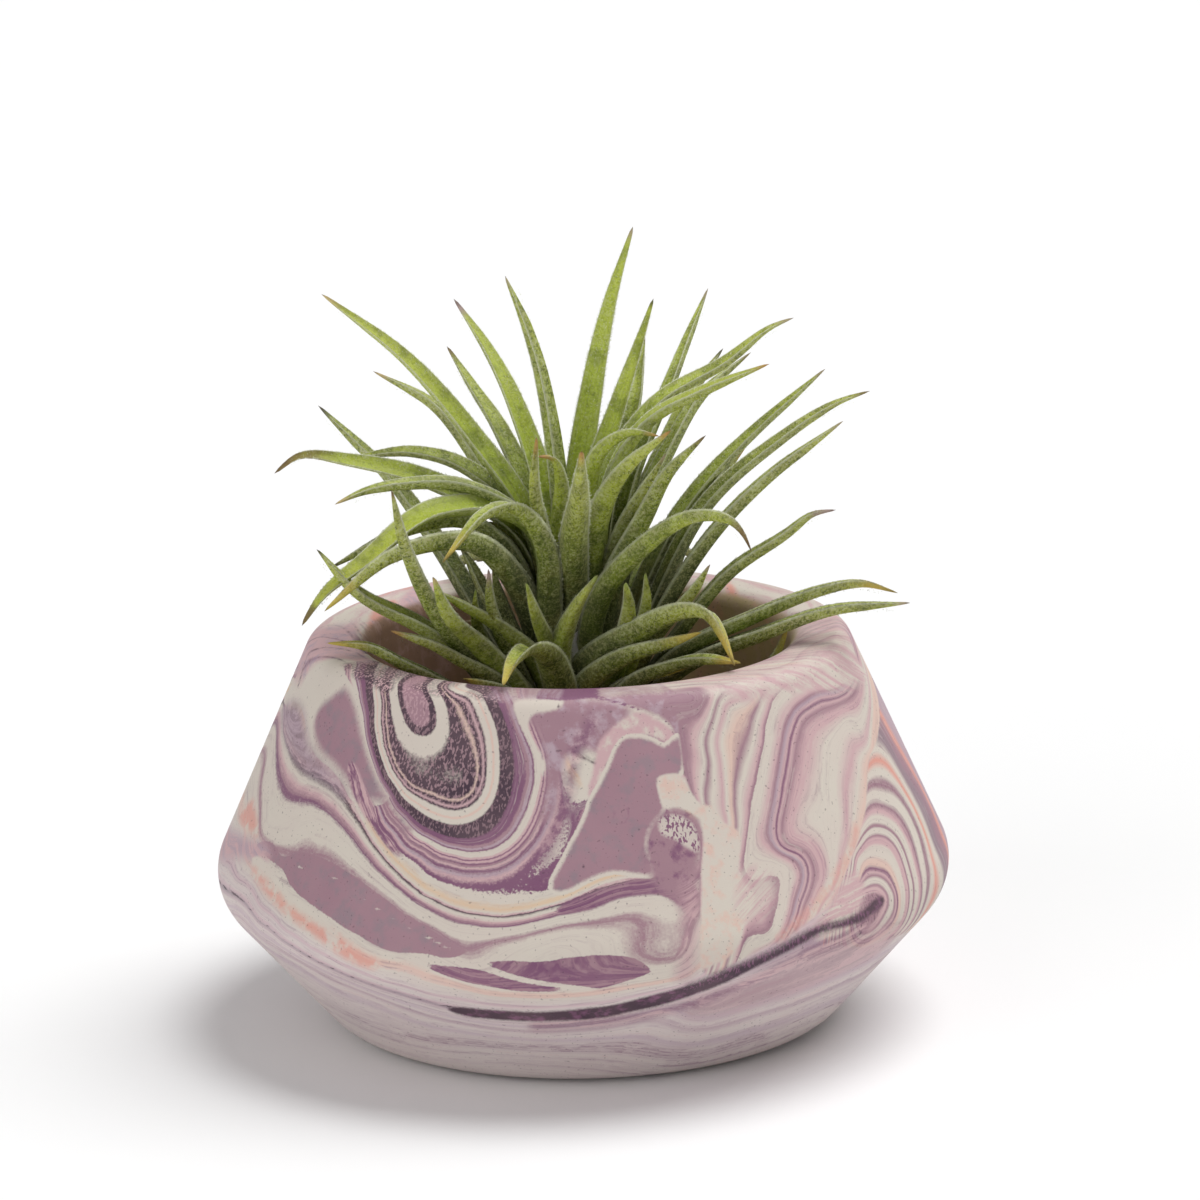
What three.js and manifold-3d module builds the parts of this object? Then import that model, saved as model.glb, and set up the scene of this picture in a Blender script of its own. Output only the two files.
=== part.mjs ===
// A sky plant in a small marbled pot.
// Millimetres, +Z up. The origin is the centre of the flat foot of the pot.
// The photographed front is towards -Y, with +X to the right.

import * as THREE from 'three';
import { mergeVertices } from 'three/addons/utils/BufferGeometryUtils.js';
import Module from 'manifold-3d';

// The pot, outside
const POT_HEIGHT = 58.9;
const POT_WIDEST_RADIUS = 55;
const FOOT_CORNER_RADIUS = 37.2; // where the flat foot and the lower cone would meet
const RIM_CORNER_RADIUS = 40; // where the upper cone and the top of the lip would meet
const BELT_HEIGHT = 23.4; // height of the middle of the rounded belt
const BELT_ROUNDING = 7.9;
const FOOT_ROUNDING = 8;
const RIM_ROUNDING = 3;

// The pot, inside
const MOUTH_RADIUS = 31.8;
const LIP_ROUNDING = 3;
const FLOOR_HEIGHT = 20;
const FLOOR_RADIUS = 27;
const FLOOR_ROUNDING = 6;
const POT_SIDES = 64;

// The crown, the short leafy stem that every leaf grows from
const CROWN = { x: -0.5, y: -1 };
const CROWN_BOTTOM = 35.5;
// Each point of the crown's outline: radius, and height over its bottom
const CROWN_OUTLINE = [[4.5, 0], [7.6, 4], [8.4, 9], [7, 17], [4.4, 26], [1.6, 34]];
const CROWN_SIDES = 14;

// A leaf
const LEAF_STATIONS = 10;
const STATION_CROWDING = 1.3; // above 1, the stations stand closer together towards the tip
const LEAF_ROOT_RADIUS = 3;
const LOWEST_ROOT = 38.5;
const LOWEST_LEAVING = 54; // a leaf that passes its first point lower than this has the lowest root
const ROOT_RISE = 0.34; // rise of the root for each mm that the leaf passes its first point higher
const SHEATH_SHARE = 0.28; // share of the length where the base widens to its sheath
const SHEATH_WIDENING = 0.8;
const TAPER_SHARE = 0.62; // share of the length that narrows to the tip
const TAPER_POWER = 1;
const CHANNEL = 0.22; // height of the margins over the middle of the channel, per mm of width
const TIP_THICKNESS = 0.6;
const KEEL_THICKNESS = 1.7;

// The leaves that face the front or stand out of the crown, each with its width, its turn about its own
// midrib in degrees, and the points that its midrib passes from the crown to the tip
const UPRIGHT_LEAVES = [
  [4.1, 0, [0, 4, 76], [3, 10, 94.5], [5.7, 16.5, 105], [9.5, 24, 115.3]],
  [4.8, 25, [-2.2, -1, 78], [-4.4, -0.5, 96.5], [-6.7, -0.5, 105], [-9.7, 0, 113]],
  [4.2, 0, [-4.2, 3.5, 76], [-8.9, 7.5, 92], [-12.8, 12.5, 99.5], [-17.7, 18, 106]],
  [4, 0, [-5.6, 5, 74.1], [-11, 10.5, 87], [-14.9, 16, 92.5], [-19, 22, 97.9]],
  [4.2, -25, [-6.5, 1, 74], [-15.8, 2.5, 89.1], [-25.2, 3.5, 100.5], [-37, 4, 110]],
  [3.8, 5, [-9, 3, 73.1], [-15.2, 8.5, 84.4], [-21.2, 12, 91.5], [-30.1, 16, 95.6]],
  [4, 10, [3, 4, 80], [6.6, 7, 91], [9.5, 11.5, 98.5], [12.3, 16, 105.8]],
  [4, 0, [4.5, 5, 76], [9, 12.5, 90], [10, 19, 94], [11, 26, 98]],
  [3, 0, [7.5, 5, 77.9], [14.8, 14, 94.1], [17.6, 21, 99.4], [20.8, 28, 104.8]],
  [4, 0, [8, 4, 72], [14.5, 13, 85.5], [18, 21.5, 90.5], [23, 30, 95]],
  [4, 0, [7, 2, 70], [14.5, 9.5, 85], [19.5, 15.5, 91.5], [27, 22, 96]],
  [4, 15, [4, 0, 80], [12, 2, 92.5], [22.5, 4, 98.5], [29, 5.5, 103], [33, 6, 104.5]],
  [4.2, 35, [4.5, -3, 81], [10.5, -3, 91], [19.5, -3, 96], [29, -3, 99.5]],
  [4, 0, [0, 8, 67], [1, 19, 78], [1.7, 31, 83]],
  [4, 0, [-2.5, 7, 67], [-3.5, 19, 78], [-4.2, 31, 84]],
  [4, 0, [-4, 8, 65], [-6.5, 20, 77], [-8, 34, 82]],
  [4, 0, [2.5, 8, 65], [4, 20, 77], [4.6, 34, 82]],
];
const LEFT_LEAVES = [
  [4.2, 0, [-14.5, 5, 60], [-21.5, 8.5, 71.5], [-29, 12.5, 81.5], [-38.5, 16, 90.5]],
  [3.8, -10, [-8, 2, 75], [-16, 3.5, 83.2], [-24.5, 4.5, 85.8], [-34, 6, 84.5]],
  [4.2, -40, [-8, 0, 73], [-22, -1, 82.5], [-33.5, -2, 86], [-40.5, -2.5, 87], [-44.5, -3, 84.5]],
  [4.6, -10, [-7, -3, 75.5], [-16.5, -5, 82.5], [-26, -7, 83.5], [-31, -8, 82.8], [-35.5, -9, 81]],
  [4.6, 40, [-8.4, -2, 67.7], [-12.1, -3.5, 74], [-16.9, -4.5, 77.2], [-27.1, -7.5, 76], [-36.6, -10, 71.5]],
  [5.2, -45, [-7, -5, 76.5], [-20.5, -9.5, 79.8], [-31, -13.5, 73.5], [-37, -16.5, 69.5], [-40.5, -18, 65]],
  [5, 45, [-7.7, -6, 63.6], [-11, -8.5, 70.7], [-16, -11, 75.3], [-27.5, -16.5, 74.7], [-37, -22, 68.1]],
  [3.8, 0, [-13, -8.5, 52.5], [-21, -16.5, 66.5], [-24.5, -23.5, 77], [-26.5, -30, 88]],
  [5, -20, [-13, -7, 53], [-22.5, -11.5, 62.5], [-31.5, -14.5, 68.5], [-38, -18, 76.5]],
  [3.8, -10, [-20.5, -12, 54.5], [-26, -13.5, 58], [-31, -14.5, 61], [-37, -16, 61.8]],
  [3.8, -10, [-12.5, -11, 54.5], [-17.5, -14, 58.5], [-22, -17, 62], [-27.5, -20, 64.5]],
  [4.3, 0, [-4.5, -7, 62], [-5, -12, 75], [-9, -17, 82], [-13.5, -21, 82], [-19.5, -26, 76]],
  [5.6, 0, [-9.5, -9, 52], [-15, -14, 60.5], [-19, -19.5, 66.5], [-21, -24, 73.5]],
  [5.2, -20, [-6, -7, 55], [-11, -11, 62], [-15.5, -14, 66], [-20.5, -17, 69.5]],
  [3, 0, [-9.5, -8, 56], [-12.5, -13.5, 65.5], [-13, -18, 73]],
  [2.6, 0, [-14.5, -9, 61.5], [-15, -12, 65.5], [-15, -14, 69]],
  [4.4, -15, [-11.4, 2, 59.5], [-14, 3, 64.6], [-16, 5, 68.4], [-17.6, 6, 70.7]],
  [4.2, 30, [-9.6, -3, 58.3], [-10.9, -3, 62.6], [-11.8, -3, 66], [-12.6, -3, 69.6]],
  [4.6, -25, [-6.4, 0, 65.2], [-7.7, 0, 70.4], [-10, -1, 74.1], [-13.2, -2, 76.2]],
];
const MIDDLE_LEAVES = [
  [3.4, 0, [-3.5, -5, 62], [-5, -10.5, 75.5], [-6, -16.5, 84.5], [-5.5, -22, 93.5]],
  [5, 0, [-3, -4, 70.5], [-2.5, -7, 78], [-2.2, -10, 84.5], [-3.2, -12, 88], [-5.5, -13.5, 88.6]],
  [4.8, 0, [-1, -5, 62], [-0.5, -13.5, 75.5], [0.5, -23, 84.5], [1, -34, 94]],
  [5.2, 0, [1.5, -4, 72], [2, -6, 82], [4, -7.5, 88], [8, -9, 91], [12.5, -10, 90.5]],
  [5, 0, [2, -5, 68], [4, -11.5, 80], [8, -18.5, 88.5], [14, -26, 95]],
  [4.4, 0, [4, -3, 66], [7, -4.5, 76], [10, -6.5, 82], [13.5, -8, 87.5]],
  [4.8, 0, [4.9, -5, 66], [10.3, -10.5, 78.8], [14, -15.5, 87], [19.1, -20, 92.8]],
];
const RIGHT_LEAVES = [
  [3.2, 5, [10.5, 5, 66], [17.5, 8.5, 77], [27.5, 12.5, 86.5], [38, 16, 94.5]],
  [3.6, 15, [10, 0, 60], [19.1, 0.5, 77.4], [30.5, 1.5, 87.2], [38.3, 2, 92.1], [44, 2, 94]],
  [3.6, 0, [13, 3, 65], [18.5, 7.5, 76], [22, 10.5, 80], [26, 14, 83.5]],
  [4.2, 5, [10, -3, 58], [19.5, -4.5, 73.7], [29, -6.5, 83.9], [39.6, -8, 91.8]],
  [3.4, 10, [16.3, -5, 61.6], [22.6, -6.5, 69.2], [30.3, -7.5, 74.6], [34.6, -8, 77.8], [38.3, -9, 78.6]],
  [4.4, 10, [14, -7.5, 56.5], [25, -7.5, 62], [36, -6.5, 66], [42, -6, 66.8], [47.5, -6, 65]],
  [4.4, 10, [15, -9, 55], [27.5, -10, 60.5], [38, -11, 64.2], [49, -12, 65]],
  [3.8, -25, [2.9, -8, 64.1], [9.6, -14.5, 74.6], [16.9, -19.5, 80.5], [22, -23, 81.1], [24, -25, 79.6],
    [25.3, -27, 76.9]],
  [3.8, 0, [11, -8, 59.5], [16, -12, 66.5], [19.5, -16, 72.5]],
  [2.2, 0, [20, -7, 48], [28, -6.5, 55], [31.5, -6, 61.5]],
];
const FRONT_LEAVES = [
  [5.2, 10, [0.5, -9, 54], [9.5, -15.5, 62.5], [15.5, -20, 66.5], [18.6, -22.5, 66.9], [20.2, -24, 65.5],
    [22.6, -27.5, 59.9]],
  [4, 15, [8, -13, 54], [14, -17.5, 58], [19, -22.5, 60], [23.5, -27, 60.3]],
  [4.4, 15, [0.5, -11, 52], [6, -15, 58], [12, -18, 61], [18, -21, 63.5]],
  [5.2, 0, [-2.5, -12, 50], [-4.5, -18, 59], [-7, -24, 62.5], [-9.5, -30, 62.2], [-11, -35.5, 59.9]],
  [3.4, 0, [-4.5, -12, 59], [-6, -16, 64.5], [-7.5, -21, 71.5]],
  [3.8, 0, [-3, -12, 58], [-0.5, -16, 66], [3, -19, 72]],
  [4.4, 0, [7, -12, 60.5], [7.5, -16.5, 66.5], [7, -20, 71]],
  [3.2, 0, [9, -10, 60.5], [10, -13, 66.5], [10, -16, 71.5]],
  [3.6, 0, [5.5, -11, 52], [11, -15, 56], [16, -18, 57.5]],
  [3.6, 0, [-8, -10, 50], [-13, -16, 55], [-17, -20, 57]],
];

// The leaves on the far side, which fill the crown all round. Each tier is spread over a range of
// bearings by a rule: its leaves rise to the top height and drop again towards their tips.
const FAR_LEAVES = {
  seed: 11,
  arching: { count: 9, from: 58, to: 124, reach: 38, top: 68, drop: 5, wide: 3.9 },
  low: { count: 6, from: 40, to: 140, reach: 24, top: 60, drop: 1, wide: 3.6 },
  rise: 8, // from the first point of the leaf to its top
  reachSpread: 0.3, // share of the reach
  topSpread: 6,
};

// The woody foot with its withered sheaths and wiry roots
const PIECE_GAP = 0.3;
const FOOT_OUTLINE = [[3.6, 0], [4.2, 5], [4.8, 11], [4.4, 15.2]]; // radius, height over the pot's floor
const FOOT_SIDES = 12;
const SHEATHS = {
  count: 7,
  lows: [2, 4.5], // height of the start of every other sheath
  outline: [[2.5, 0], [5.4, 4.4], [7.6, 8.2]], // radius, height over the start
  wide: 5,
  narrowing: 0.8, // share of the width that is lost up to the tip
  thick: 0.9,
  stations: 5,
};
const ROOTS = { count: 6, reach: 17, thickness: 1.2, sides: 6, steps: 6, seed: 5 };
// Each point of a root: share of its reach, share of its swing to the side, height over its lowest run
const ROOT_COURSE = [[0.12, 0, 2.5], [0.32, 0, 1.6], [0.6, 0.5, 0], [1, 1, 0]];

// Colours and finishes
const POT_FINISH = { color: 0xc9b3bb, roughness: 0.62, metalness: 0 };
const LEAF_FINISH = { color: 0x75894c, roughness: 0.68, metalness: 0 };
const DRY_FINISH = { color: 0x7a5f43, roughness: 0.85, metalness: 0 };

const wasm = await Module();
wasm.setup();

// A repeatable draw from 0 to 1
function drawsFrom(seed) {
  let state = seed;
  return () => {
    state = (state * 16807) % 2147483647;
    return state / 2147483647;
  };
}

function solidOf(geometry) {
  const bare = geometry.clone();
  bare.deleteAttribute('normal');
  bare.deleteAttribute('uv');
  const merged = mergeVertices(bare, 1e-4);
  return new wasm.Manifold(new wasm.Mesh({
    numProp: 3,
    vertProperties: new Float32Array(merged.attributes.position.array),
    triVerts: new Uint32Array(merged.index.array),
  }));
}

function geometryOf(solid) {
  const mesh = solid.getMesh();
  const geometry = new THREE.BufferGeometry();
  geometry.setAttribute('position', new THREE.BufferAttribute(new Float32Array(mesh.vertProperties), 3));
  geometry.setIndex(new THREE.BufferAttribute(new Uint32Array(mesh.triVerts), 1));
  geometry.computeVertexNormals();
  return geometry;
}

// One body from pieces that run into each other. A hollow that they seal between them is filled.
function fuse(geometries) {
  const joined = geometries.map(solidOf).reduce((whole, piece) => whole.add(piece));
  const bodies = joined.decompose().sort((a, b) => b.volume() - a.volume());
  return geometryOf(bodies[0]);
}

function namedMesh(name, geometry, finish) {
  const mesh = new THREE.Mesh(geometry, new THREE.MeshStandardMaterial(finish));
  mesh.name = name;
  return mesh;
}

// A lathe turns about Y, so its work is stood up to turn about Z
function lathe(profile, sides) {
  return new THREE.LatheGeometry(profile, sides).rotateX(Math.PI / 2);
}

// Points of a rounding of the given radius that replaces the corner between two straight runs
function roundedCorner(before, corner, after, radius, steps) {
  const back = before.clone().sub(corner).normalize();
  const ahead = after.clone().sub(corner).normalize();
  const half = Math.acos(back.dot(ahead)) / 2;
  const middle = back.clone().add(ahead).normalize().multiplyScalar(radius / Math.sin(half)).add(corner);
  const start = back.multiplyScalar(radius / Math.tan(half)).add(corner).sub(middle);
  const end = ahead.multiplyScalar(radius / Math.tan(half)).add(corner).sub(middle);
  const turn = Math.atan2(start.x * end.y - start.y * end.x, start.dot(end));
  return Array.from({ length: steps + 1 }, (_, i) => {
    return start.clone().rotateAround(new THREE.Vector2(), turn * i / steps).add(middle);
  });
}

// Where a line from an outside point touches the belt's rounding
function cornerOverBelt(foot, rim) {
  const middle = new THREE.Vector2(POT_WIDEST_RADIUS - BELT_ROUNDING, BELT_HEIGHT);
  const touching = (from, side) => {
    const away = middle.clone().sub(from);
    const lean = Math.asin(BELT_ROUNDING / away.length());
    return away.rotateAround(new THREE.Vector2(), side * lean).normalize();
  };
  const upwards = touching(foot, -1);
  const downwards = touching(rim, 1);
  const across = rim.clone().sub(foot);
  const reach = across.cross(downwards) / upwards.cross(downwards);
  return foot.clone().addScaledVector(upwards, reach);
}

function pot() {
  const at = (radius, height) => new THREE.Vector2(radius, height);
  const foot = at(FOOT_CORNER_RADIUS, 0);
  const rim = at(RIM_CORNER_RADIUS, POT_HEIGHT);
  const belt = cornerOverBelt(foot, rim);
  const mouth = at(MOUTH_RADIUS, POT_HEIGHT);
  const floor = at(FLOOR_RADIUS, FLOOR_HEIGHT);
  const profile = [
    at(0, 0),
    ...roundedCorner(at(0, 0), foot, belt, FOOT_ROUNDING, 3),
    ...roundedCorner(foot, belt, rim, BELT_ROUNDING, 6),
    ...roundedCorner(belt, rim, mouth, RIM_ROUNDING, 3),
    ...roundedCorner(rim, mouth, floor, LIP_ROUNDING, 4),
    ...roundedCorner(mouth, floor, at(0, FLOOR_HEIGHT), FLOOR_ROUNDING, 3),
    at(0, FLOOR_HEIGHT),
  ];
  return lathe(profile, POT_SIDES);
}

// A closed body drawn through rings of corners, which share their count and order, and on to a point
function loft(rings, point) {
  const sides = rings[0].length;
  const corners = [...rings.flat(), point];
  const faces = [];
  for (let ring = 0; ring + 1 < rings.length; ring++) {
    for (let side = 0; side < sides; side++) {
      const a = ring * sides + side;
      const b = ring * sides + (side + 1) % sides;
      faces.push([a, b, b + sides], [a, b + sides, a + sides]);
    }
  }
  const last = (rings.length - 1) * sides;
  for (let side = 0; side < sides; side++) {
    faces.push([last + side, last + (side + 1) % sides, last + sides]);
  }
  for (let side = 1; side + 1 < sides; side++) {
    faces.push([0, side + 1, side]);
  }
  const positions = corners.flatMap((corner) => corner.toArray());
  const geometry = new THREE.BufferGeometry();
  geometry.setAttribute('position', new THREE.Float32BufferAttribute(positions, 3));
  geometry.setIndex(faces.flat());
  return geometry;
}

// A channelled blade along a curve: two margins, the middle of the channel, and the keel below it
function blade(curve, stations, widthAt, thicknessAt, turn) {
  const rings = [];
  let across = null;
  for (let i = 0; i < stations; i++) {
    const along = 1 - (1 - i / stations) ** STATION_CROWDING;
    const middle = curve.getPointAt(along);
    const ahead = curve.getTangentAt(along);
    across ??= new THREE.Vector3(0, 0, 1).cross(ahead).normalize();
    across.addScaledVector(ahead, -across.dot(ahead)).normalize();
    const side = across.clone().applyAxisAngle(ahead, THREE.MathUtils.degToRad(turn) * along);
    const up = ahead.clone().cross(side);
    const half = widthAt(along) / 2;
    const margin = CHANNEL * widthAt(along);
    const corner = (sideways, upwards) => {
      return middle.clone().addScaledVector(side, sideways).addScaledVector(up, upwards);
    };
    rings.push([
      corner(half, margin), corner(0, 0), corner(-half, margin), corner(0, -thicknessAt(along)),
    ]);
  }
  return loft(rings, curve.getPointAt(1));
}

// A point at a distance and a bearing from the crown's axis, at a height over the ground
function aroundCrown(radius, bearing, height) {
  return new THREE.Vector3(
    CROWN.x + radius * Math.cos(bearing), CROWN.y + radius * Math.sin(bearing), height);
}

function leaf([wide, turn, ...points]) {
  const [x, y, height] = points[0];
  const bearing = Math.atan2(y - CROWN.y, x - CROWN.x);
  const rootHeight = LOWEST_ROOT + Math.max(0, height - LOWEST_LEAVING) * ROOT_RISE;
  const root = aroundCrown(LEAF_ROOT_RADIUS, bearing, rootHeight);
  const curve = new THREE.CatmullRomCurve3([root, ...points.map((p) => new THREE.Vector3(...p))]);
  const widthAt = (along) => {
    const sheath = SHEATH_WIDENING * Math.max(0, 1 - along / SHEATH_SHARE) ** 2;
    const taper = Math.sin(Math.PI / 2 * Math.min(1, (1 - along) / TAPER_SHARE)) ** TAPER_POWER;
    return wide * (1 + sheath) * taper;
  };
  const thicknessAt = (along) => TIP_THICKNESS + (KEEL_THICKNESS - TIP_THICKNESS) * Math.sqrt(1 - along);
  return blade(curve, LEAF_STATIONS, widthAt, thicknessAt, turn);
}

// Leaves of one tier on the far side, spread evenly over a range of bearings and then shaken a little
function farTier({ count, from, to, reach, top, drop, wide }, draw) {
  return Array.from({ length: count }, (_, i) => {
    const bearing = THREE.MathUtils.degToRad(from + (to - from) * (i + draw()) / count);
    const far = reach * (1 + FAR_LEAVES.reachSpread * (draw() - 0.5));
    const high = top + FAR_LEAVES.topSpread * (draw() - 0.5);
    const course = [[0.3, high - FAR_LEAVES.rise], [0.65, high], [1, high - drop]];
    const points = course.map(([share, height]) => aroundCrown(far * share, bearing, height).toArray());
    return [wide, 0, ...points];
  });
}

function crown() {
  const outline = CROWN_OUTLINE.map(([radius, height]) => new THREE.Vector2(radius, height));
  const last = outline.at(-1);
  const profile = [new THREE.Vector2(0, 0), ...outline, new THREE.Vector2(0, last.y + 1)];
  return lathe(profile, CROWN_SIDES).translate(CROWN.x, CROWN.y, CROWN_BOTTOM);
}

function rosette() {
  const draw = drawsFrom(FAR_LEAVES.seed);
  const leaves = [
    ...UPRIGHT_LEAVES, ...LEFT_LEAVES, ...MIDDLE_LEAVES, ...RIGHT_LEAVES, ...FRONT_LEAVES,
    ...farTier(FAR_LEAVES.arching, draw), ...farTier(FAR_LEAVES.low, draw),
  ];
  return fuse([crown(), ...leaves.map(leaf)]);
}

// The woody foot, with withered sheaths that hug it and wiry roots that run out over the pot's floor
function dryBase() {
  const floor = FLOOR_HEIGHT + PIECE_GAP;
  const outline = FOOT_OUTLINE.map(([radius, height]) => new THREE.Vector2(radius, height - PIECE_GAP));
  outline[0].y = 0;
  const profile = [new THREE.Vector2(0, 0), ...outline, new THREE.Vector2(0, outline.at(-1).y)];
  const stub = lathe(profile, FOOT_SIDES).translate(CROWN.x, CROWN.y, floor);

  const sheaths = Array.from({ length: SHEATHS.count }, (_, i) => {
    const bearing = 2 * Math.PI * i / SHEATHS.count;
    const start = floor + SHEATHS.lows[i % 2];
    const course = SHEATHS.outline.map(([radius, height]) => aroundCrown(radius, bearing, start + height));
    const widthAt = (along) => SHEATHS.wide * (1 - SHEATHS.narrowing * along);
    return blade(new THREE.CatmullRomCurve3(course), SHEATHS.stations, widthAt, () => SHEATHS.thick, 0);
  });

  const draw = drawsFrom(ROOTS.seed);
  const lowest = floor + 0.6 * ROOTS.thickness;
  const middle = new THREE.Vector2();
  const section = new THREE.Shape(Array.from({ length: ROOTS.sides }, (_, k) => {
    return new THREE.Vector2(ROOTS.thickness / 2, 0).rotateAround(middle, 2 * Math.PI * k / ROOTS.sides);
  }));
  const roots = Array.from({ length: ROOTS.count }, (_, i) => {
    const bearing = 2 * Math.PI * (i + 0.5 * draw()) / ROOTS.count;
    const swing = draw() - 0.5;
    const reach = ROOTS.reach * (1 - 0.2 * draw());
    const course = ROOT_COURSE.map(([share, aside, height]) => {
      return aroundCrown(share * reach, bearing + aside * swing, lowest + height);
    });
    const extrudePath = new THREE.CatmullRomCurve3(course);
    return new THREE.ExtrudeGeometry(section, { steps: ROOTS.steps, extrudePath });
  });
  return fuse([stub, ...sheaths, ...roots]);
}

const part = new THREE.Group();
part.add(
  namedMesh('pot', pot(), POT_FINISH),
  namedMesh('dry_base', dryBase(), DRY_FINISH),
  namedMesh('rosette', rosette(), LEAF_FINISH),
);

export default part;
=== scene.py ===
import math

import bmesh
import bpy
import numpy as np
from bpy.props import FloatProperty, FloatVectorProperty, IntProperty, PointerProperty
from mathutils import Matrix, Vector


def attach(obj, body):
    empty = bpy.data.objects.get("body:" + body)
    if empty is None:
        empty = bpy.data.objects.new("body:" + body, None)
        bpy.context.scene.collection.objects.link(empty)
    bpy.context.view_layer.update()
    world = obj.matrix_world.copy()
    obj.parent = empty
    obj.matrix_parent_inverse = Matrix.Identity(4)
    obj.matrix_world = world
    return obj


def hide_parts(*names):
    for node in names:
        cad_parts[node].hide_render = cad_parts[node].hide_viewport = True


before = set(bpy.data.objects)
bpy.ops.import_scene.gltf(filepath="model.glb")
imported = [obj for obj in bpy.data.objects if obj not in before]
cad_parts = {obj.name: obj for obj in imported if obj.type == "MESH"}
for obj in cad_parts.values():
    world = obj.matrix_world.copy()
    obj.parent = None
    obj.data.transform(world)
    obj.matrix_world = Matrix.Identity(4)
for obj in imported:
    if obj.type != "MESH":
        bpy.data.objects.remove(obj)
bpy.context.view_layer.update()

bl_info = {
    "name": "Sky plant in a marbled pot",
    "version": (1, 0, 0),
    "blender": (4, 5, 0),
    "location": "View3D > Sidebar > Sky plant",
    "description": "Adds a small sky plant, the marbled pot that it stands in, and a pale studio",
    "category": "Add Mesh",
}

MM = 0.001


def tint(code):
    """The scene's own (linear) colour of a colour that is written as on a screen, such as #c9b3bb."""
    shares = [int(code[i:i + 2], 16) / 255 for i in (1, 3, 5)]
    return tuple(s / 12.92 if s <= 0.04045 else ((s + 0.055) / 1.055) ** 2.4 for s in shares)


def length(name, description, millimetres):
    return FloatProperty(name=name, description=description, default=millimetres * MM,
                         unit="LENGTH", subtype="DISTANCE", precision=5)


def share(name, description, value):
    return FloatProperty(name=name, description=description, default=value, min=0, max=3)


def colour(name, description, code):
    return FloatVectorProperty(name=name, description=description, default=tint(code),
                               size=3, min=0, max=1, subtype="COLOR")


class PotSettings(bpy.types.PropertyGroup):
    """Sizes of the pot, and the colours that are poured into it."""
    height: length("Height", "From the flat foot to the top of the lip", 58.9)
    widest: length("Widest radius", "Radius over the rounded belt", 55)
    foot_corner: length("Foot corner", "Radius where the foot and the lower cone would meet", 37.2)
    rim_corner: length("Rim corner", "Radius where the upper cone and the lip's top would meet", 40)
    belt_height: length("Belt height", "Height of the middle of the belt", 23.4)
    belt_rounding: length("Belt rounding", "Radius of the belt's edge", 7.9)
    foot_rounding: length("Foot rounding", "Radius of the foot's edge", 8)
    rim_rounding: length("Rim rounding", "Radius of the lip's outer edge", 3)
    mouth: length("Mouth radius", "Radius of the opening", 31.8)
    lip_rounding: length("Lip rounding", "Radius of the lip's inner edge", 3)
    floor_height: length("Inner floor height", "Height of the floor inside", 20)
    floor_radius: length("Inner floor radius", "Radius of the floor inside", 27)
    floor_rounding: length("Inner floor rounding", "Radius between the inner wall and the floor", 6)
    spacing: length("Mesh spacing", "Distance between the rows of the mesh", 1.0)
    steps: IntProperty(name="Steps round", description="Steps of the spin", default=400, min=64)
    cream: colour("Cream", "The lightest of the poured colours", "#d2c9bd")
    peach: colour("Peach", "The warm pale colour", "#d9bcae")
    honey: colour("Honey", "The yellowish pale colour", "#d9bd9e")
    rose: colour("Rose", "The pinkish pale colour", "#c9a6a9")
    coral: colour("Coral", "The strongest warm colour", "#d9998a")
    lilac: colour("Lilac", "The cool pale grey", "#b19aa5")
    slate: colour("Slate", "The grey that shades the flat patches", "#8f7983")
    mauve: colour("Mauve", "The flat middle colour", "#9d7985")
    purple: colour("Purple", "The saturated middle colour", "#78496a")
    plum: colour("Plum", "The darkest colour", "#372033")
    wall: colour("Wall", "The bare inner wall", "#b8a47c")
    # The next colour is painted shade: the dark brown on the left of the inner wall
    wall_painted_shade: colour("Earth", "The stained part of the inner wall", "#7d5f45")
    veil: colour("Veil", "The pale haze over the lower cone", "#d6cacd")


class LeafSettings(bpy.types.PropertyGroup):
    """Sizes and colours that the leaves share."""
    stations: IntProperty(name="Stations", description="Rings along a leaf", default=46, min=8)
    sides: IntProperty(name="Sides", description="Points round a leaf", default=14, min=6)
    channel: share("Channel", "Height of the margins over the channel, as a share of the width", 0.22)
    tip_thickness: length("Tip thickness", "Thickness of the blade next to its tip", 0.6)
    keel_thickness: length("Keel thickness", "Thickness of the blade at its root", 1.7)
    fresh: colour("Fresh green", "The channelled face of a young leaf", "#a8bb2f")
    green: colour("Green", "The middle of a leaf", "#6b7c26")
    deep: colour("Deep green", "The leaf under its bloom", "#36450f")
    # Olive is partly the sheath's own colour and partly painted shade low down near the crown
    olive: colour("Olive", "The sheath at the root", "#262b0d")
    straw: colour("Straw", "The outer part of a leaf", "#c2c652")
    bloom: colour("Bloom", "The silvery scales", "#c1c694")
    tan: colour("Tan", "The scales on the older parts of the leaves", "#a39a66")
    rust: colour("Rust", "The brownish blotches", "#7a6a35")
    margin: colour("Margin", "The pale line along the margins", "#dcdfc0")
    withered: colour("Withered", "The very end of a tip", "#4a3527")
    hair: colour("Hair", "The silvery hairs", "#e9ebd6")
    # Painted shade on the hairs low down in the rosette
    painted_shade_hair: colour("Shaded hair", "The hairs low down in the rosette", "#5d5f30")
    hair_length: length("Hair length", "Length of the longest hairs", 0.55)
    hair_width: length("Hair width", "Width of a hair at its foot", 0.11)
    hair_doublings: IntProperty(name="Hair doublings", default=15, min=1, max=15,
                                description="The hairs of a kind are doubled this often")


class DryBaseSettings(bpy.types.PropertyGroup):
    """Colours of the woody foot under the rosette."""
    wood: colour("Wood", "The woody foot", "#6f543a")
    papery: colour("Papery", "The withered sheaths", "#a08765")


class StageSettings(bpy.types.PropertyGroup):
    """The floor and the light."""
    floor: colour("Floor", "The pale floor", "#f4f4f4")
    sky_strength: share("Sky strength", "Strength of the even light from all round", 0.36)
    overhead: share("Overhead light", "Strength of the soft light from above", 2.4)
    front: share("Front light", "Strength of the soft light from the front", 1.0)


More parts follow.
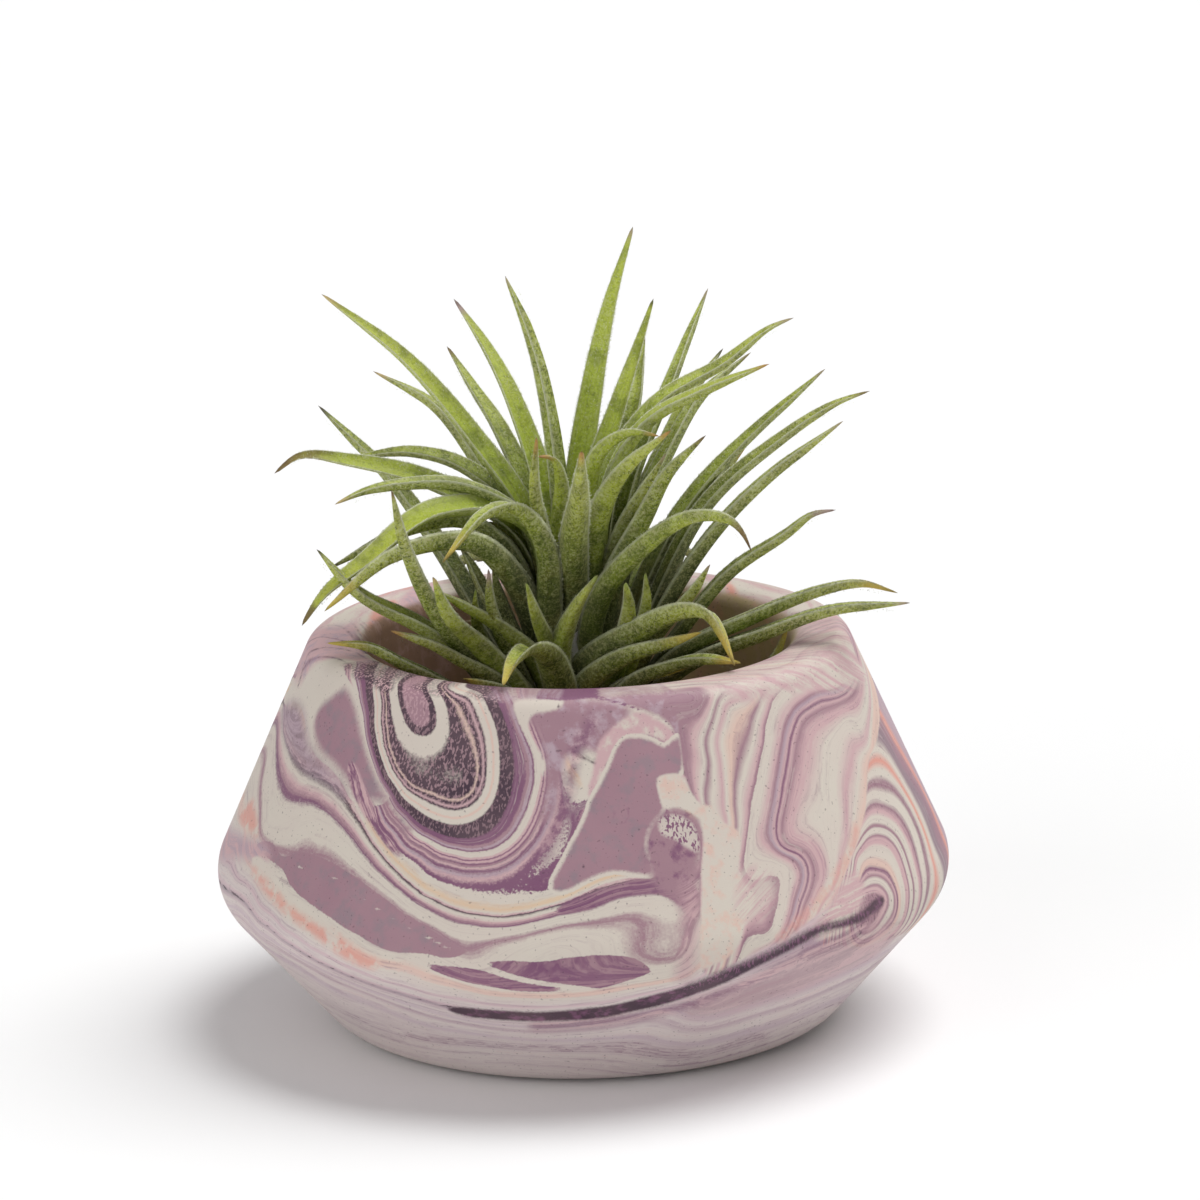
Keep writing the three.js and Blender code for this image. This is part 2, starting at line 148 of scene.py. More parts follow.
# The camera, fitted to the photo. Its distance and aim are in metres, and its sensor is in millimetres
PICTURE_SIZE = 1200
FOCAL_PIXELS = 6502.0
SENSOR_WIDTH = 36.0
CAMERA_DISTANCE = 0.970
CAMERA_PITCH = math.radians(14.2)
CAMERA_ROLL = math.radians(1.175)
CAMERA_AIM = Vector((0.0033, 0, 0.0634))


def camera_frame():
    """Where the camera stands, and its right, up and forward directions."""
    stands = Vector((0, -CAMERA_DISTANCE * math.cos(CAMERA_PITCH),
                     CAMERA_AIM.z + CAMERA_DISTANCE * math.sin(CAMERA_PITCH)))
    forward = (CAMERA_AIM - stands).normalized()
    level_right = forward.cross(Vector((0, 0, 1))).normalized()
    level_up = level_right.cross(forward)
    right = level_right * math.cos(CAMERA_ROLL) - level_up * math.sin(CAMERA_ROLL)
    up = level_right * math.sin(CAMERA_ROLL) + level_up * math.cos(CAMERA_ROLL)
    return stands, right, up, forward


class Signal:
    """An output of a node. Its operators add the Math nodes that work on it."""

    def __init__(self, finish, socket):
        self.finish = finish
        self.socket = socket

    def math(self, operation, *others, first=None, clamp=False):
        values = [self if first is None else first, *others]
        return self.finish.add("ShaderNodeMath", {"operation": operation, "use_clamp": clamp},
                               dict(enumerate(values)))

    def __add__(self, other):
        return self.math("ADD", other)

    def __radd__(self, other):
        return self.math("ADD", other)

    def __sub__(self, other):
        return self.math("SUBTRACT", other)

    def __rsub__(self, other):
        return self.math("SUBTRACT", self, first=other)

    def __mul__(self, other):
        return self.math("MULTIPLY", other)

    def __truediv__(self, other):
        return self.math("DIVIDE", other)

    def __pow__(self, other):
        return self.math("POWER", other)

    def __abs__(self):
        return self.math("ABSOLUTE")

    def clamped(self):
        return self.math("ADD", 0.0, clamp=True)

    def rise(self, start, end):
        """0 below start, 1 above end and smooth between, or the other way round where end is lower."""
        falling = end < start
        low, high = sorted((start, end))
        return self.finish.add("ShaderNodeMapRange", {"interpolation_type": "SMOOTHSTEP"}, {
            "Value": self, "From Min": low, "From Max": high,
            "To Min": 1.0 if falling else 0.0, "To Max": 0.0 if falling else 1.0})


class Finish:
    """A material whose nodes are added one call at a time."""

    def __init__(self, name):
        self.material = bpy.data.materials.new(name)
        self.material.use_nodes = True
        self.tree = self.material.node_tree
        self.tree.nodes.clear()

    def add(self, kind, settings=None, inputs=None, output=0):
        node = self.tree.nodes.new(kind)
        for key, value in (settings or {}).items():
            if key == "stops":
                self.set_stops(node.color_ramp, value)
            else:
                setattr(node, key, value)
        for key, value in (inputs or {}).items():
            if isinstance(value, Signal):
                self.tree.links.new(value.socket, node.inputs[key])
            elif isinstance(value, tuple) and len(value) == 3 and len(node.inputs[key].default_value) == 4:
                node.inputs[key].default_value = (*value, 1.0)
            else:
                node.inputs[key].default_value = value
        return Signal(self, node.outputs[output]) if len(node.outputs) else None

    @staticmethod
    def set_stops(ramp, stops):
        """Stops are (place from 0 to 1, colour, alpha), in order."""
        while len(ramp.elements) > 1:
            ramp.elements.remove(ramp.elements[-1])
        for i, (place, rgb, alpha) in enumerate(stops):
            element = ramp.elements[0] if i == 0 else ramp.elements.new(place)
            element.position = place
            element.color = (*rgb, alpha)

    def attribute(self, name, output="Fac"):
        return self.add("ShaderNodeAttribute", {"attribute_name": name}, output=output)

    def place(self):
        """The point on the object, in millimetres."""
        spot = self.add("ShaderNodeTexCoord", output="Object")
        return self.vector("SCALE", spot, Scale=1 / MM)

    def vector(self, operation, first, second=None, **more):
        inputs = {0: first, **more}
        if second is not None:
            inputs[1] = second
        return self.add("ShaderNodeVectorMath", {"operation": operation}, inputs)

    def parts(self, where):
        """The X, Y and Z of a point."""
        split = self.add("ShaderNodeSeparateXYZ", None, {0: where})
        return [Signal(self, split.socket.node.outputs[axis]) for axis in "XYZ"]

    def noise(self, where, scale, detail=2.0, roughness=0.5):
        """Noise from 0 to 1 around 0.5. The scale counts features in each unit of where."""
        return self.add("ShaderNodeTexNoise", None, {
            "Vector": where, "Scale": scale, "Detail": detail, "Roughness": roughness})

    def mix(self, factor, first, second):
        """A colour between two, by the factor."""
        return self.add("ShaderNodeMix", {"data_type": "RGBA"}, {0: factor, 6: first, 7: second}, output=2)

    def surface(self, **inputs):
        """Ends the material with one shader and returns it."""
        shader = self.add("ShaderNodeBsdfPrincipled", None, {
            key.replace("_", " "): value for key, value in inputs.items()})
        self.add("ShaderNodeOutputMaterial", None, {"Surface": shader})
        return self.material


def finished(mesh_maker, name, node, material):
    """A piece of the object from a filled bmesh: it rides on the root and stands for the CAD node."""
    mesh = bpy.data.meshes.new(name)
    mesh_maker.to_mesh(mesh)
    mesh_maker.free()
    mesh.shade_smooth()
    mesh.materials.append(material)
    piece = bpy.data.objects.new(name, mesh)
    bpy.context.scene.collection.objects.link(piece)
    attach(piece, "root")
    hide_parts(node)
    return piece


# The pot's outline

EDGE_STEPS = 7
BELT_STEPS = 16
FLOOR_STEPS = 6
# The mesh is coarser where nobody sees it: under the foot, and inside from this far below the lip's top
HIDDEN_DEPTH = 4 * MM
HIDDEN_SPACING = 3


def rounded_corner(before, corner, after, radius, steps):
    """Points of a rounding that replaces the corner between two straight runs."""
    back = (before - corner).normalized()
    ahead = (after - corner).normalized()
    half = math.acos(back.dot(ahead)) / 2
    middle = corner + (back + ahead).normalized() * (radius / math.sin(half))
    start = corner + back * (radius / math.tan(half)) - middle
    end = corner + ahead * (radius / math.tan(half)) - middle
    turn = math.atan2(start.x * end.y - start.y * end.x, start.dot(end))
    return [middle + Matrix.Rotation(turn * i / steps, 2) @ start for i in range(steps + 1)]


def corner_over_belt(settings, foot, rim):
    """Where the two cones, which both touch the belt's rounding, would meet."""
    middle = Vector((settings.widest - settings.belt_rounding, settings.belt_height))

    def touching(start, side):
        away = middle - start
        lean = math.asin(settings.belt_rounding / away.length)
        return (Matrix.Rotation(side * lean, 2) @ away).normalized()

    upwards, downwards, across = touching(foot, -1), touching(rim, 1), rim - foot

    def crossed(a, b):
        return a.x * b.y - a.y * b.x

    return foot + upwards * (crossed(across, downwards) / crossed(upwards, downwards))


def pot_outline(settings):
    """The pot's outline as (radius, height) from the middle of the foot to the middle of the floor."""
    centre = Vector((0, 0))
    foot = Vector((settings.foot_corner, 0))
    rim = Vector((settings.rim_corner, settings.height))
    belt = corner_over_belt(settings, foot, rim)
    mouth = Vector((settings.mouth, settings.height))
    floor = Vector((settings.floor_radius, settings.floor_height))
    floor_centre = Vector((0, settings.floor_height))
    corners = [
        centre,
        *rounded_corner(centre, foot, belt, settings.foot_rounding, EDGE_STEPS),
        *rounded_corner(foot, belt, rim, settings.belt_rounding, BELT_STEPS),
        *rounded_corner(belt, rim, mouth, settings.rim_rounding, EDGE_STEPS),
        *rounded_corner(rim, mouth, floor, settings.lip_rounding, EDGE_STEPS),
        *rounded_corner(mouth, floor, floor_centre, settings.floor_rounding, FLOOR_STEPS),
        floor_centre,
    ]
    points = [corners[0]]
    for start, end in zip(corners, corners[1:]):
        inside = end.x < settings.mouth and end.y < settings.height - HIDDEN_DEPTH
        underneath = start.y < MM / 10
        spacing = settings.spacing * (HIDDEN_SPACING if inside or underneath else 1)
        pieces = max(1, round((end - start).length / spacing))
        points += [start.lerp(end, i / pieces) for i in range(1, pieces + 1)]
    return points


def spun(outline, steps):
    """A closed body of revolution about Z, as a bmesh."""
    body = bmesh.new()
    rings = [body.verts.new((p.x, 0, p.y)) for p in outline]
    edges = [body.edges.new(pair) for pair in zip(rings, rings[1:])]
    bmesh.ops.spin(body, geom=rings + edges, cent=(0, 0, 0), axis=(0, 0, 1),
                   angle=2 * math.pi, steps=steps, use_merge=True)
    bmesh.ops.remove_doubles(body, verts=body.verts, dist=MM / 1000)
    bmesh.ops.recalc_face_normals(body, faces=body.faces)
    return body


# The marbling is laid out on the picture: each line and outline below is traced in its pixels and
# cast onto the pot. A line has a level, and the levels rise from the middle of the rings outwards.

def traced(text):
    return [tuple(float(n) for n in pair.split(",")) for pair in text.split()]


RING_LINES = [
    (0, "413,682 415,695 417,705"),
    (1, "397,684 399,703 405,722 413,734 425,736 435,731 437,716 433,700 427,688"),
    (2, "391,684 392,702 396,723 404,741 415,752 428,756 441,750 447,735 446,715 440,696 436,686"),
    (3, "379,690 380,720 383,748 392,770 405,788 422,799 442,808 458,811 475,803 485,785 487,760 484,733 "
        "477,712 470,698"),
    (4, "373,690 374,718 378,748 388,776 403,797 420,811 438,821 455,825 472,821 487,811 496,795 500,770 "
        "499,745 494,722 485,702"),
    (5, "366,684 370,715 374,748 383,776 398,803 414,820 432,831 452,837 472,838 490,830 503,812 511,785 "
        "512,755 509,733 502,714 497,702"),
    (6, "354,674 359,700 365,730 374,764 387,792 403,817 422,836 445,848 470,853 495,849 514,835 527,812 "
        "535,785 535,758 527,738 517,718 514,704"),
    (7, "347,672 353,700 360,735 371,772 385,802 402,826 424,845 450,858 475,862 500,858 520,844 535,820 "
        "543,792 545,765 538,738 530,715"),
    (8, "372,800 380,823 398,848 420,867 445,880 470,888 497,889 520,883 538,868 552,847 564,823 578,800"),
    (9, "282,702 284,725 292,752 306,769 325,780 340,795 352,812 364,830 374,846 388,864 404,881 422,895 "
        "445,907 470,915 500,918 530,914 560,906 590,893 615,883 645,880"),
    (10, "277,735 277,762 282,787 297,801 315,805 330,813 343,827 356,842 370,859 386,875 402,889 420,902 "
         "442,914 470,922 500,926 530,922 560,914 590,907 620,897 650,893"),
    (11, "264,750 260,790 260,832 275,847 295,853 320,857 341,868 361,881 381,896 401,911 422,924 445,937 "
         "467,950"),
    (13, "238,800 245,830 247,862 262,882 282,903 302,920 324,936 345,948 370,962 410,972 450,985 "
         "500,996 550,998 600,994 650,985 690,975"),
    (14.5, "222,862 238,882 260,908 285,932 312,950 345,967 385,982 430,995 480,1004"),
    (16, "219,880 236,895 252,911 270,928 290,944 312,958 336,970 362,981 395,992 430,1002 470,1012 "
         "520,1017 570,1016 620,1009 665,998 705,985 740,970 780,952 815,934 845,922 872,908"),
    (16.8, "890,935 860,953 820,970 780,983 740,995 700,1005"),
    (17.5, "905,940 870,965 830,983 790,998 750,1010 700,1022"),
    (18, "232,915 262,940 295,960 330,980 370,996 420,1015 480,1028 540,1033 600,1030 660,1024"),
    (18.7, "900,955 870,980 830,1003 790,1020 740,1035 680,1045"),
]
# The folds right of the middle, level by level from the left to the right
FOLD_LINES = [
    (0, "676,690 678,715 680,745 684,772 692,795 700,810 701,840 699,880 702,930 706,965"),
    (1, "724,692 717,708 711,725 709,760 706,780 703,800 706,812"),
    (2, "722,705 718,730 717,750 720,772 724,790 728,806 730,825"),
    (3, "767,688 758,705 750,725 744,748 738,770 733,790 729,806 732,825"),
    (4, "790,680 772,697 763,725 758,755 753,785 748,815 743,845 739,868 746,884 757,894 755,906 748,925 "
        "740,945"),
    (5, "822,688 802,698 789,712 781,735 776,760 770,790 765,815 761,840 770,847 784,857 795,865 797,880 "
        "792,900 787,920 780,937"),
    (6, "837,699 813,706 798,720 791,740 787,770 782,800 778,830 781,845 795,850 806,862 808,880 801,900 "
        "798,916 788,935"),
    (7, "832,713 812,724 803,745 798,770 791,800 786,828 791,842 805,845 815,860 818,880 812,900 803,920"),
    (8, "846,718 828,740 822,765 820,800 822,835 828,850 831,870 826,890 812,912"),
    (9, "866,742 852,762 847,788 848,815 845,840 840,860 836,880 823,900"),
    (10, "874,740 869,760 867,790 866,808 861,830 855,850 847,870 839,890 829,906"),
]
# The rings at the right end, level by level from their dark core outwards
EYE_LINES = [
    (0, "862,906 870,901 880,899"),
    (1, "856,897 864,889 876,884 884,889 888,900 884,914"),
    (2, "856,886 865,875 877,870 888,875 895,888 898,905 893,922"),
    (3, "857,864 866,853 878,850 889,855 897,868 902,886 903,905 897,925 884,938"),
    (4, "853,872 857,851 866,839 878,835 890,840 900,855 906,875 909,895 906,917 893,935"),
    (5, "846,890 851,869 857,847 866,831 878,825 890,829 902,844 910,866 914,890 911,913 899,933"),
    (6, "864,818 868,812 880,809 893,815 904,830 913,852 919,875 920,900 914,918"),
    (7, "868,790 882,787 897,795 909,812 919,835 925,860 927,885 922,908"),
    (8, "871,760 880,758 893,770 905,790 918,815 928,840 935,865 938,885 932,902"),
    (9, "878,722 887,737 902,762 917,787 931,815 943,848 947,872"),
    (10, "868,672 876,692 884,706 898,735 913,765 928,795 941,822 949,850"),
]

# Away from the front the levels run round the pot in long waves: level at each height, from the foot up
BACK_LEVELS = [(4, 19.5), (12, 17.5), (20, 15.5), (28, 12.5), (36, 9.5), (44, 7), (52, 4.5), (58, 2.5)]
BACK_BEARINGS = [100, 118, 136, 154, 172, -170, -152, -134, -116]
BACK_SWING = 2.2
BACK_WAVE_STEP = 1.9  # how far the wave goes on from one bearing to the next, in radians
BACK_WAVE_HEIGHT = 17  # height over which it goes on by one radian, in millimetres

# Bands of the rings and sweeps: level where each one ends, colour, share of dark dashes
INNER_BANDS = [
    (0.5, "mauve", 0.9), (1, "plum", 0.3), (2, "cream", 0), (2.42, "plum", 0.4), (2.5, "peach", 0.2),
    (2.7, "plum", 0.45), (2.84, "rose", 0.3), (3, "plum", 0.4), (3.42, "cream", 0), (3.58, "peach", 0),
    (4, "cream", 0), (5, "plum", 0.25), (5.15, "purple", 0), (5.5, "purple", 0), (5.7, "mauve", 0),
    (5.86, "lilac", 0), (6, "purple", 0),
    (6.5, "cream", 0), (6.7, "rose", 0), (6.8, "purple", 0), (7, "rose", 0), (7.12, "purple", 0),
    (7.3, "mauve", 0), (7.4, "rose", 0), (7.62, "purple", 0.1), (7.76, "lilac", 0), (7.86, "rose", 0),
    (8, "purple", 0),
]
OUTER_BANDS = [
    (8.35, "cream", 0), (8.62, "honey", 0), (8.88, "cream", 0), (8.96, "rose", 0), (9.08, "plum", 0),
    (9.5, "cream", 0), (9.72, "rose", 0), (9.92, "mauve", 0), (10.0, "purple", 0), (10.9, "cream", 0),
    (11.15, "mauve", 0), (12.6, "cream", 0), (13.1, "peach", 0), (14.1, "cream", 0), (14.5, "rose", 0),
    (15.4, "cream", 0), (15.8, "rose", 0), (15.93, "mauve", 0), (16.1, "plum", 0), (16.4, "mauve", 0),
    (17.1, "cream", 0), (17.4, "lilac", 0), (17.75, "cream", 0), (17.95, "mauve", 0), (18.5, "cream", 0),
    (18.8, "lilac", 0), (20, "cream", 0),
]
FOLD_BANDS = [
    (0.15, "mauve", 0), (0.5, "rose", 0), (0.94, "cream", 0), (1.1, "mauve", 0), (1.8, "cream", 0),
    (2.15, "rose", 0), (2.45, "cream", 0), (2.9, "peach", 0), (3.08, "mauve", 0), (3.8, "cream", 0),
    (4, "rose", 0), (4.12, "mauve", 0), (4.85, "cream", 0), (5.1, "rose", 0), (5.3, "mauve", 0),
    (5.55, "lilac", 0), (5.82, "rose", 0), (5.98, "purple", 0), (6.25, "rose", 0), (6.75, "mauve", 0),
    (7.7, "rose", 0), (8.8, "cream", 0), (9.1, "rose", 0), (9.6, "cream", 0), (10, "peach", 0),
]
EYE_BANDS = [
    (0.35, "mauve", 0.4), (0.85, "rose", 0), (1.0, "mauve", 0), (1.5, "cream", 0), (1.66, "mauve", 0),
    (1.9, "rose", 0), (2.05, "purple", 0), (2.5, "peach", 0), (3.3, "cream", 0), (3.9, "rose", 0),
    (4.1, "mauve", 0), (4.75, "cream", 0), (5.03, "mauve", 0.1), (5.7, "cream", 0), (6.05, "rose", 0),
    (6.3, "mauve", 0.2), (6.9, "cream", 0), (7.3, "mauve", 0.2), (7.75, "cream", 0), (8.05, "coral", 0),
    (8.45, "cream", 0), (8.9, "slate", 0), (9.3, "mauve", 0), (9.6, "coral", 0), (10, "lilac", 0),
]


class Pour:
    """A poured shape that lies over the bands: filled outlines or lines, traced on the picture."""

    def __init__(self, name, rgb, *shapes, line=0, soft=0.1, strength=1.0, second=None, mottling="cloud",
                 rim=None, rim_width=0.8, on_top=False):
        self.name = name
        self.rgb = rgb
        self.shapes = shapes
        self.line = line
        self.soft = soft
        self.strength = strength
        self.second = second or rgb
        self.mottling = mottling
        self.rim = rim
        self.rim_width = rim_width
        self.on_top = on_top


FOLD_REGION = ("640,640 700,655 780,640 830,612 868,668 876,690 877,740 869,760 867,790 866,808 861,830 "
               "855,850 847,870 839,890 829,906 812,918 790,935 765,948 740,960 706,975 702,930 699,880 "
               "701,840 700,810 692,795 684,772 680,745 677,715 672,690")
EYE_REGION = ("868,668 900,690 960,800 975,880 930,925 900,935 880,942 860,948 830,945 800,950 815,925 "
              "829,908 839,890 847,870 855,850 861,830 866,808 867,790 869,760 877,740 876,690")

POURS_BELOW_FOLDS = [
    Pour("top_cream", "cream",
         "300,672 320,660 345,657 352,664 356,690 361,710 364,730 368,748 374,766 381,782 390,798 380,806 "
         "366,803 352,800 342,783 330,769 318,758 310,744 306,728 303,712 296,700 288,706 284,700 292,684"),
    Pour("shade_left", "lilac",
         "283,707 294,702 303,712 306,728 310,744 318,758 330,769 342,783 346,797 330,785 312,775 298,762 "
         "290,750 284,735 281,715", soft=1.6, second="slate", mottling="streaks"),
    Pour("petal", "mauve",
         "343,689 350,695 355,708 359,725 364,745 371,766 380,785 390,800 400,815 412,830 405,832 392,818 "
         "380,803 370,800 362,800 356,796 350,783 341,771 329,759 320,748 315,734 315,720 320,708 331,698",
         soft=0.9, second="slate"),
    Pour("petal_streak", "purple",
         "348,762 357,767 363,782 373,802 385,824 397,842 406,852 398,856 386,846 374,830 364,815 356,800 "
         "350,785", soft=0.35, second="rose", mottling="streaks"),
    Pour("cloud", "mauve",
         "508,704 540,698 600,695 622,703 632,715 620,730 605,745 598,752 585,748 575,752 566,760 562,780 "
         "556,800 548,820 540,820 543,800 546,780 546,760 541,740 533,725 520,718", soft=1.0,
         second="lilac"),
    Pour("cloud_top", "mauve",
         "560,690 600,688 650,683 676,694 680,742 672,728 662,718 640,709 618,703 590,697", soft=0.4,
         second="lilac"),
    Pour("cloud_cream", "cream",
         "514,703 530,697 558,697 562,706 545,712 531,716 529,735 539,750 546,766 541,777 535,760 528,740 "
         "518,722", "573,758 595,765 599,788 590,800 578,775", soft=0.35),
    Pour("cloud_blush", "rose",
         "600,740 618,722 640,712 662,722 674,733 676,745 662,742 645,735 628,738 614,752 604,770 598,790 "
         "592,800 586,795 592,775 597,755", soft=0.4, second="cream"),
    Pour("cloud_smear", "purple", "592,722 582,740 574,760 570,785 563,810 552,840 540,858", line=5, soft=1.3,
         strength=0.8, second="rose"),
    Pour("cloud_line", "purple", "540,691 565,691 590,695 620,703 645,712 665,721 675,731 677,742", line=1.1),
    Pour("slab", "mauve",
         "622,741 640,738 655,742 665,746 679,738 681,770 672,774 657,778 658,790 663,806 654,818 646,832 "
         "645,850 652,873 632,872 615,871 600,874 585,880 570,888 560,891 553,889 553,882 560,870 568,855 "
         "575,840 585,820 592,800 600,785 610,765", soft=0.3, second="slate", rim="cream",
         rim_width=0.6),
    Pour("shelf", "mauve",
         "560,905 590,893 612,884 640,879 668,880 690,885 700,895 695,905 680,905 665,897 645,893 620,898 "
         "598,908 575,913 560,914", soft=0.25, second="purple", mottling="streaks"),
    Pour("lobe", "mauve",
         "663,812 675,806 690,812 700,822 704,840 700,860 697,880 700,900 690,915 678,905 668,895 655,885 "
         "648,868 645,850 648,832 654,820", soft=1.0, second="purple"),
    Pour("lobe_specks", "cream", "660,820 674,815 690,822 697,835 699,852 688,848 672,838 662,835", soft=0.4,
         strength=0.85, second="purple", mottling="dashes"),
    Pour("stem", "mauve", "683,880 698,885 700,920 697,940 694,960 690,978 676,978 679,960 684,940 682,915",
         soft=1.4, strength=0.85, second="rose", mottling="streaks"),
]
POURS_ABOVE_FOLDS = [
    Pour("top_right", "cream",
         "700,676 730,668 770,655 805,640 830,618 846,632 856,655 866,676 845,688 820,690 800,689 775,694 "
         "750,702 725,694 706,692", soft=1.2, second="rose", mottling="streaks"),
    Pour("lip_left", "rose",
         "296,678 299,655 306,640 318,624 345,614 360,622 356,640 362,650 376,664 366,664 345,659 325,660 "
         "310,668 303,680", soft=0.8, second="lilac", on_top=True),
    Pour("lip_lines", "plum",
         "314,632 322,627 334,625 345,629 354,638", "305,648 312,640 325,637 340,640 352,646",
         "302,672 307,656 318,649 335,648 350,651 360,655 370,663", "298,664 302,650 309,640",
         "299,684 304,668 314,659 328,657 344,661 356,668", "331,618 342,617 352,623 360,631",
         line=1.0, soft=0.3, strength=0.8, second="purple", on_top=True),
    Pour("lip_dark", "plum",
         "364,662 376,664 390,668 398,676 394,688 384,692 372,684 366,676",
         "420,682 436,684 448,690 440,696 426,692", "470,690 490,692 508,697 500,702 482,699",
         soft=0.4, strength=0.85, second="rose", mottling="dashes"),
    Pour("lip_specks", "plum",
         "353,664 360,661 366,666 367,677 358,680 352,673", "380,672 388,669 396,675 393,685 383,683",
         soft=0.4, strength=0.85, second="rose", mottling="dashes"),
    Pour("lip_front", "mauve", "494,690 520,690 545,690 562,694 545,697 520,697 505,702 497,700", soft=0.4,
         second="lilac", mottling="streaks"),
    Pour("tongue", "cream", "657,779 668,774 680,776 689,790 699,803 706,812 700,818 690,812 676,807 664,808 "
         "659,795", soft=0.25, second="peach"),
    Pour("column", "cream",
         "700,808 712,806 722,820 733,826 741,834 741,850 739,868 745,884 755,895 752,908 745,925 738,945 "
         "728,957 712,965 702,968 700,940 702,900 701,870 704,840 700,820", soft=0.3, second="peach"),
    Pour("eye_root", "rose", "812,930 826,908 840,886 853,872 862,880 864,898 852,916 838,930 822,940",
         soft=1.0, second="cream", mottling="streaks"),
    Pour("fold_haze", "cream", "740,870 756,868 770,876 776,892 770,908 756,920 742,922 736,905 738,888",
         soft=1.3, strength=0.8, second="rose", mottling="streaks"),
    Pour("peach_run", "coral", "856,828 850,850 842,866 830,885 815,905 800,920 782,937", line=3.2, soft=0.9,
         strength=0.7, second="cream"),
    Pour("left_slab", "mauve",
         "256,846 266,841 275,845 283,856 300,853 320,857 340,867 360,880 380,895 400,910 420,922 "
         "440,935 460,947 468,951 455,957 440,957 425,953 400,953 385,950 370,943 358,935 340,925 320,910 "
         "303,898 290,885 283,870 270,860", second="slate"),
    Pour("left_haze", "lilac", "205,826 238,834 262,842 270,858 258,862 240,858 205,856", soft=1.2,
         second="rose", mottling="streaks"),
    Pour("slab_lines", "cream", "298,866 320,870 335,878 352,888", "310,880 325,886",
         "362,898 385,914 410,928 430,938 450,949", line=0.7, strength=0.8),
    Pour("under_slab", "cream",
         "251,861 262,858 280,880 290,892 303,901 320,914 340,928 355,940 345,938 325,930 300,915 280,897 "
         "262,878", soft=0.3),
    Pour("coral_run", "coral",
         "254,868 268,882 283,898 300,914 318,925 335,932 350,945 365,955 380,962 372,968 352,962 335,952 "
         "320,940 300,925 282,910 266,893 254,878", "240,815 252,800 256,812 258,835 250,832", soft=0.9,
         strength=0.85, second="cream"),
    Pour("belly", "mauve",
         "488,963 510,960 540,962 570,958 600,955 625,956 640,960 652,971 645,975 630,980 600,988 580,986 "
         "550,982 520,976 500,970",
         "428,965 455,967 480,970 505,978 530,984 565,989 555,991 520,991 500,988 480,985 455,979 437,972",
         second="purple", mottling="streaks"),
    Pour("under_vein", "mauve",
         "690,1003 760,978 820,948 870,928 902,925 880,952 830,978 780,998 720,1013 690,1016", soft=2,
         strength=0.7, second="rose", mottling="streaks"),
    Pour("vein_shade", "purple",
         "862,928 830,945 800,957 760,977 720,993 690,1004 650,1014 600,1022 540,1026",
         line=6, soft=1.2, strength=0.8, second="rose", mottling="streaks"),
    Pour("vein", "plum",
         "450,1007 500,1010 540,1012 580,1009 620,1003 660,993 690,985 720,975 750,963 775,952 800,938 "
         "820,926 835,922 850,918 862,912 872,902 882,896 883,904 872,914 860,922 845,927 825,930 810,938 "
         "795,947 770,960 745,972 720,985 690,996 660,1005 630,1012 600,1018 560,1021 520,1021 480,1018 "
         "455,1013", soft=0.35, second="purple"),
    Pour("vein_right", "plum", "690,987 720,975 750,963 775,952 800,939 822,929 846,922 862,916", line=4.5,
         soft=0.6, strength=0.85, second="purple", mottling="dashes"),
    Pour("vein_thin", "plum", "219,880 236,895 252,911 270,928 290,944 312,958 336,970 362,981 395,992 "
         "430,1002 460,1009", "858,920 862,930 856,937 849,939", line=1.0, strength=0.85),
    Pour("bubble", "purple", "630,814 628,820 622,822 616,820 614,814 616,808 622,806 628,808 630,814",
         line=0.5, soft=0.2, strength=0.6),
    Pour("pits", "plum", "313,775 313,777", "559,706 560,708", "797,961 798,963", "582,865 583,867",
         "706,763 706,765", line=1.3, soft=0.15, strength=0.85),
]

POURS_ON_LIP = [
    Pour("lip_coral", "coral", "366,640 368,622 373,611 382,603 394,600 398,607 391,621 381,638 371,650",
         "722,578 730,582 738,592 748,606 744,611 736,602 728,592", soft=0.6, second="rose", on_top=True),
    Pour("lip_blush", "rose", "398,602 410,590 430,583 440,588 424,597 408,605",
         "700,572 712,572 722,579 714,582 704,579", soft=0.8, second="lilac", on_top=True),
]


# The casts look for the pot from this far before to this far behind the camera's aim, in so many steps
CAST_BEFORE = 0.075
CAST_BEHIND = 0.05
CAST_STEPS = 1500


def cast_on_pot(pixels, outline):
    """The points of the pot's outside that the camera sees at these pixels, in millimetres."""
    stands, right, up, forward = (np.array(v) for v in camera_frame())
    top = max(range(len(outline)), key=lambda i: outline[i].y)
    heights = [p.y for p in outline[:top + 1]]
    radii = [p.x for p in outline[:top + 1]]
    along = np.linspace(CAMERA_DISTANCE - CAST_BEFORE, CAMERA_DISTANCE + CAST_BEHIND, CAST_STEPS)
    middle = PICTURE_SIZE / 2
    found = []
    for x, y in pixels:
        ray = forward + right * (x - middle) / FOCAL_PIXELS - up * (y - middle) / FOCAL_PIXELS
        spots = stands + along[:, None] * ray
        over = np.hypot(spots[:, 0], spots[:, 1]) - np.interp(spots[:, 2], heights, radii)
        over = np.maximum(over, np.maximum(spots[:, 2] - heights[-1], -spots[:, 2]))
        inside = np.flatnonzero(over < 0)
        nearest = inside[0] if len(inside) else over.argmin()
        found.append(spots[nearest] / MM)
    return np.array(found)


def unrolled(points, settings):
    """Points of the pot's outside as (way round, height), in millimetres."""
    bearing = np.arctan2(points[:, 0], -points[:, 1])
    return np.stack([bearing * (settings.rim_corner + settings.widest) / 2 / MM, points[:, 2]], 1)


LEVEL_SMOOTHING = 4.0
LEVEL_BATCHES = 40


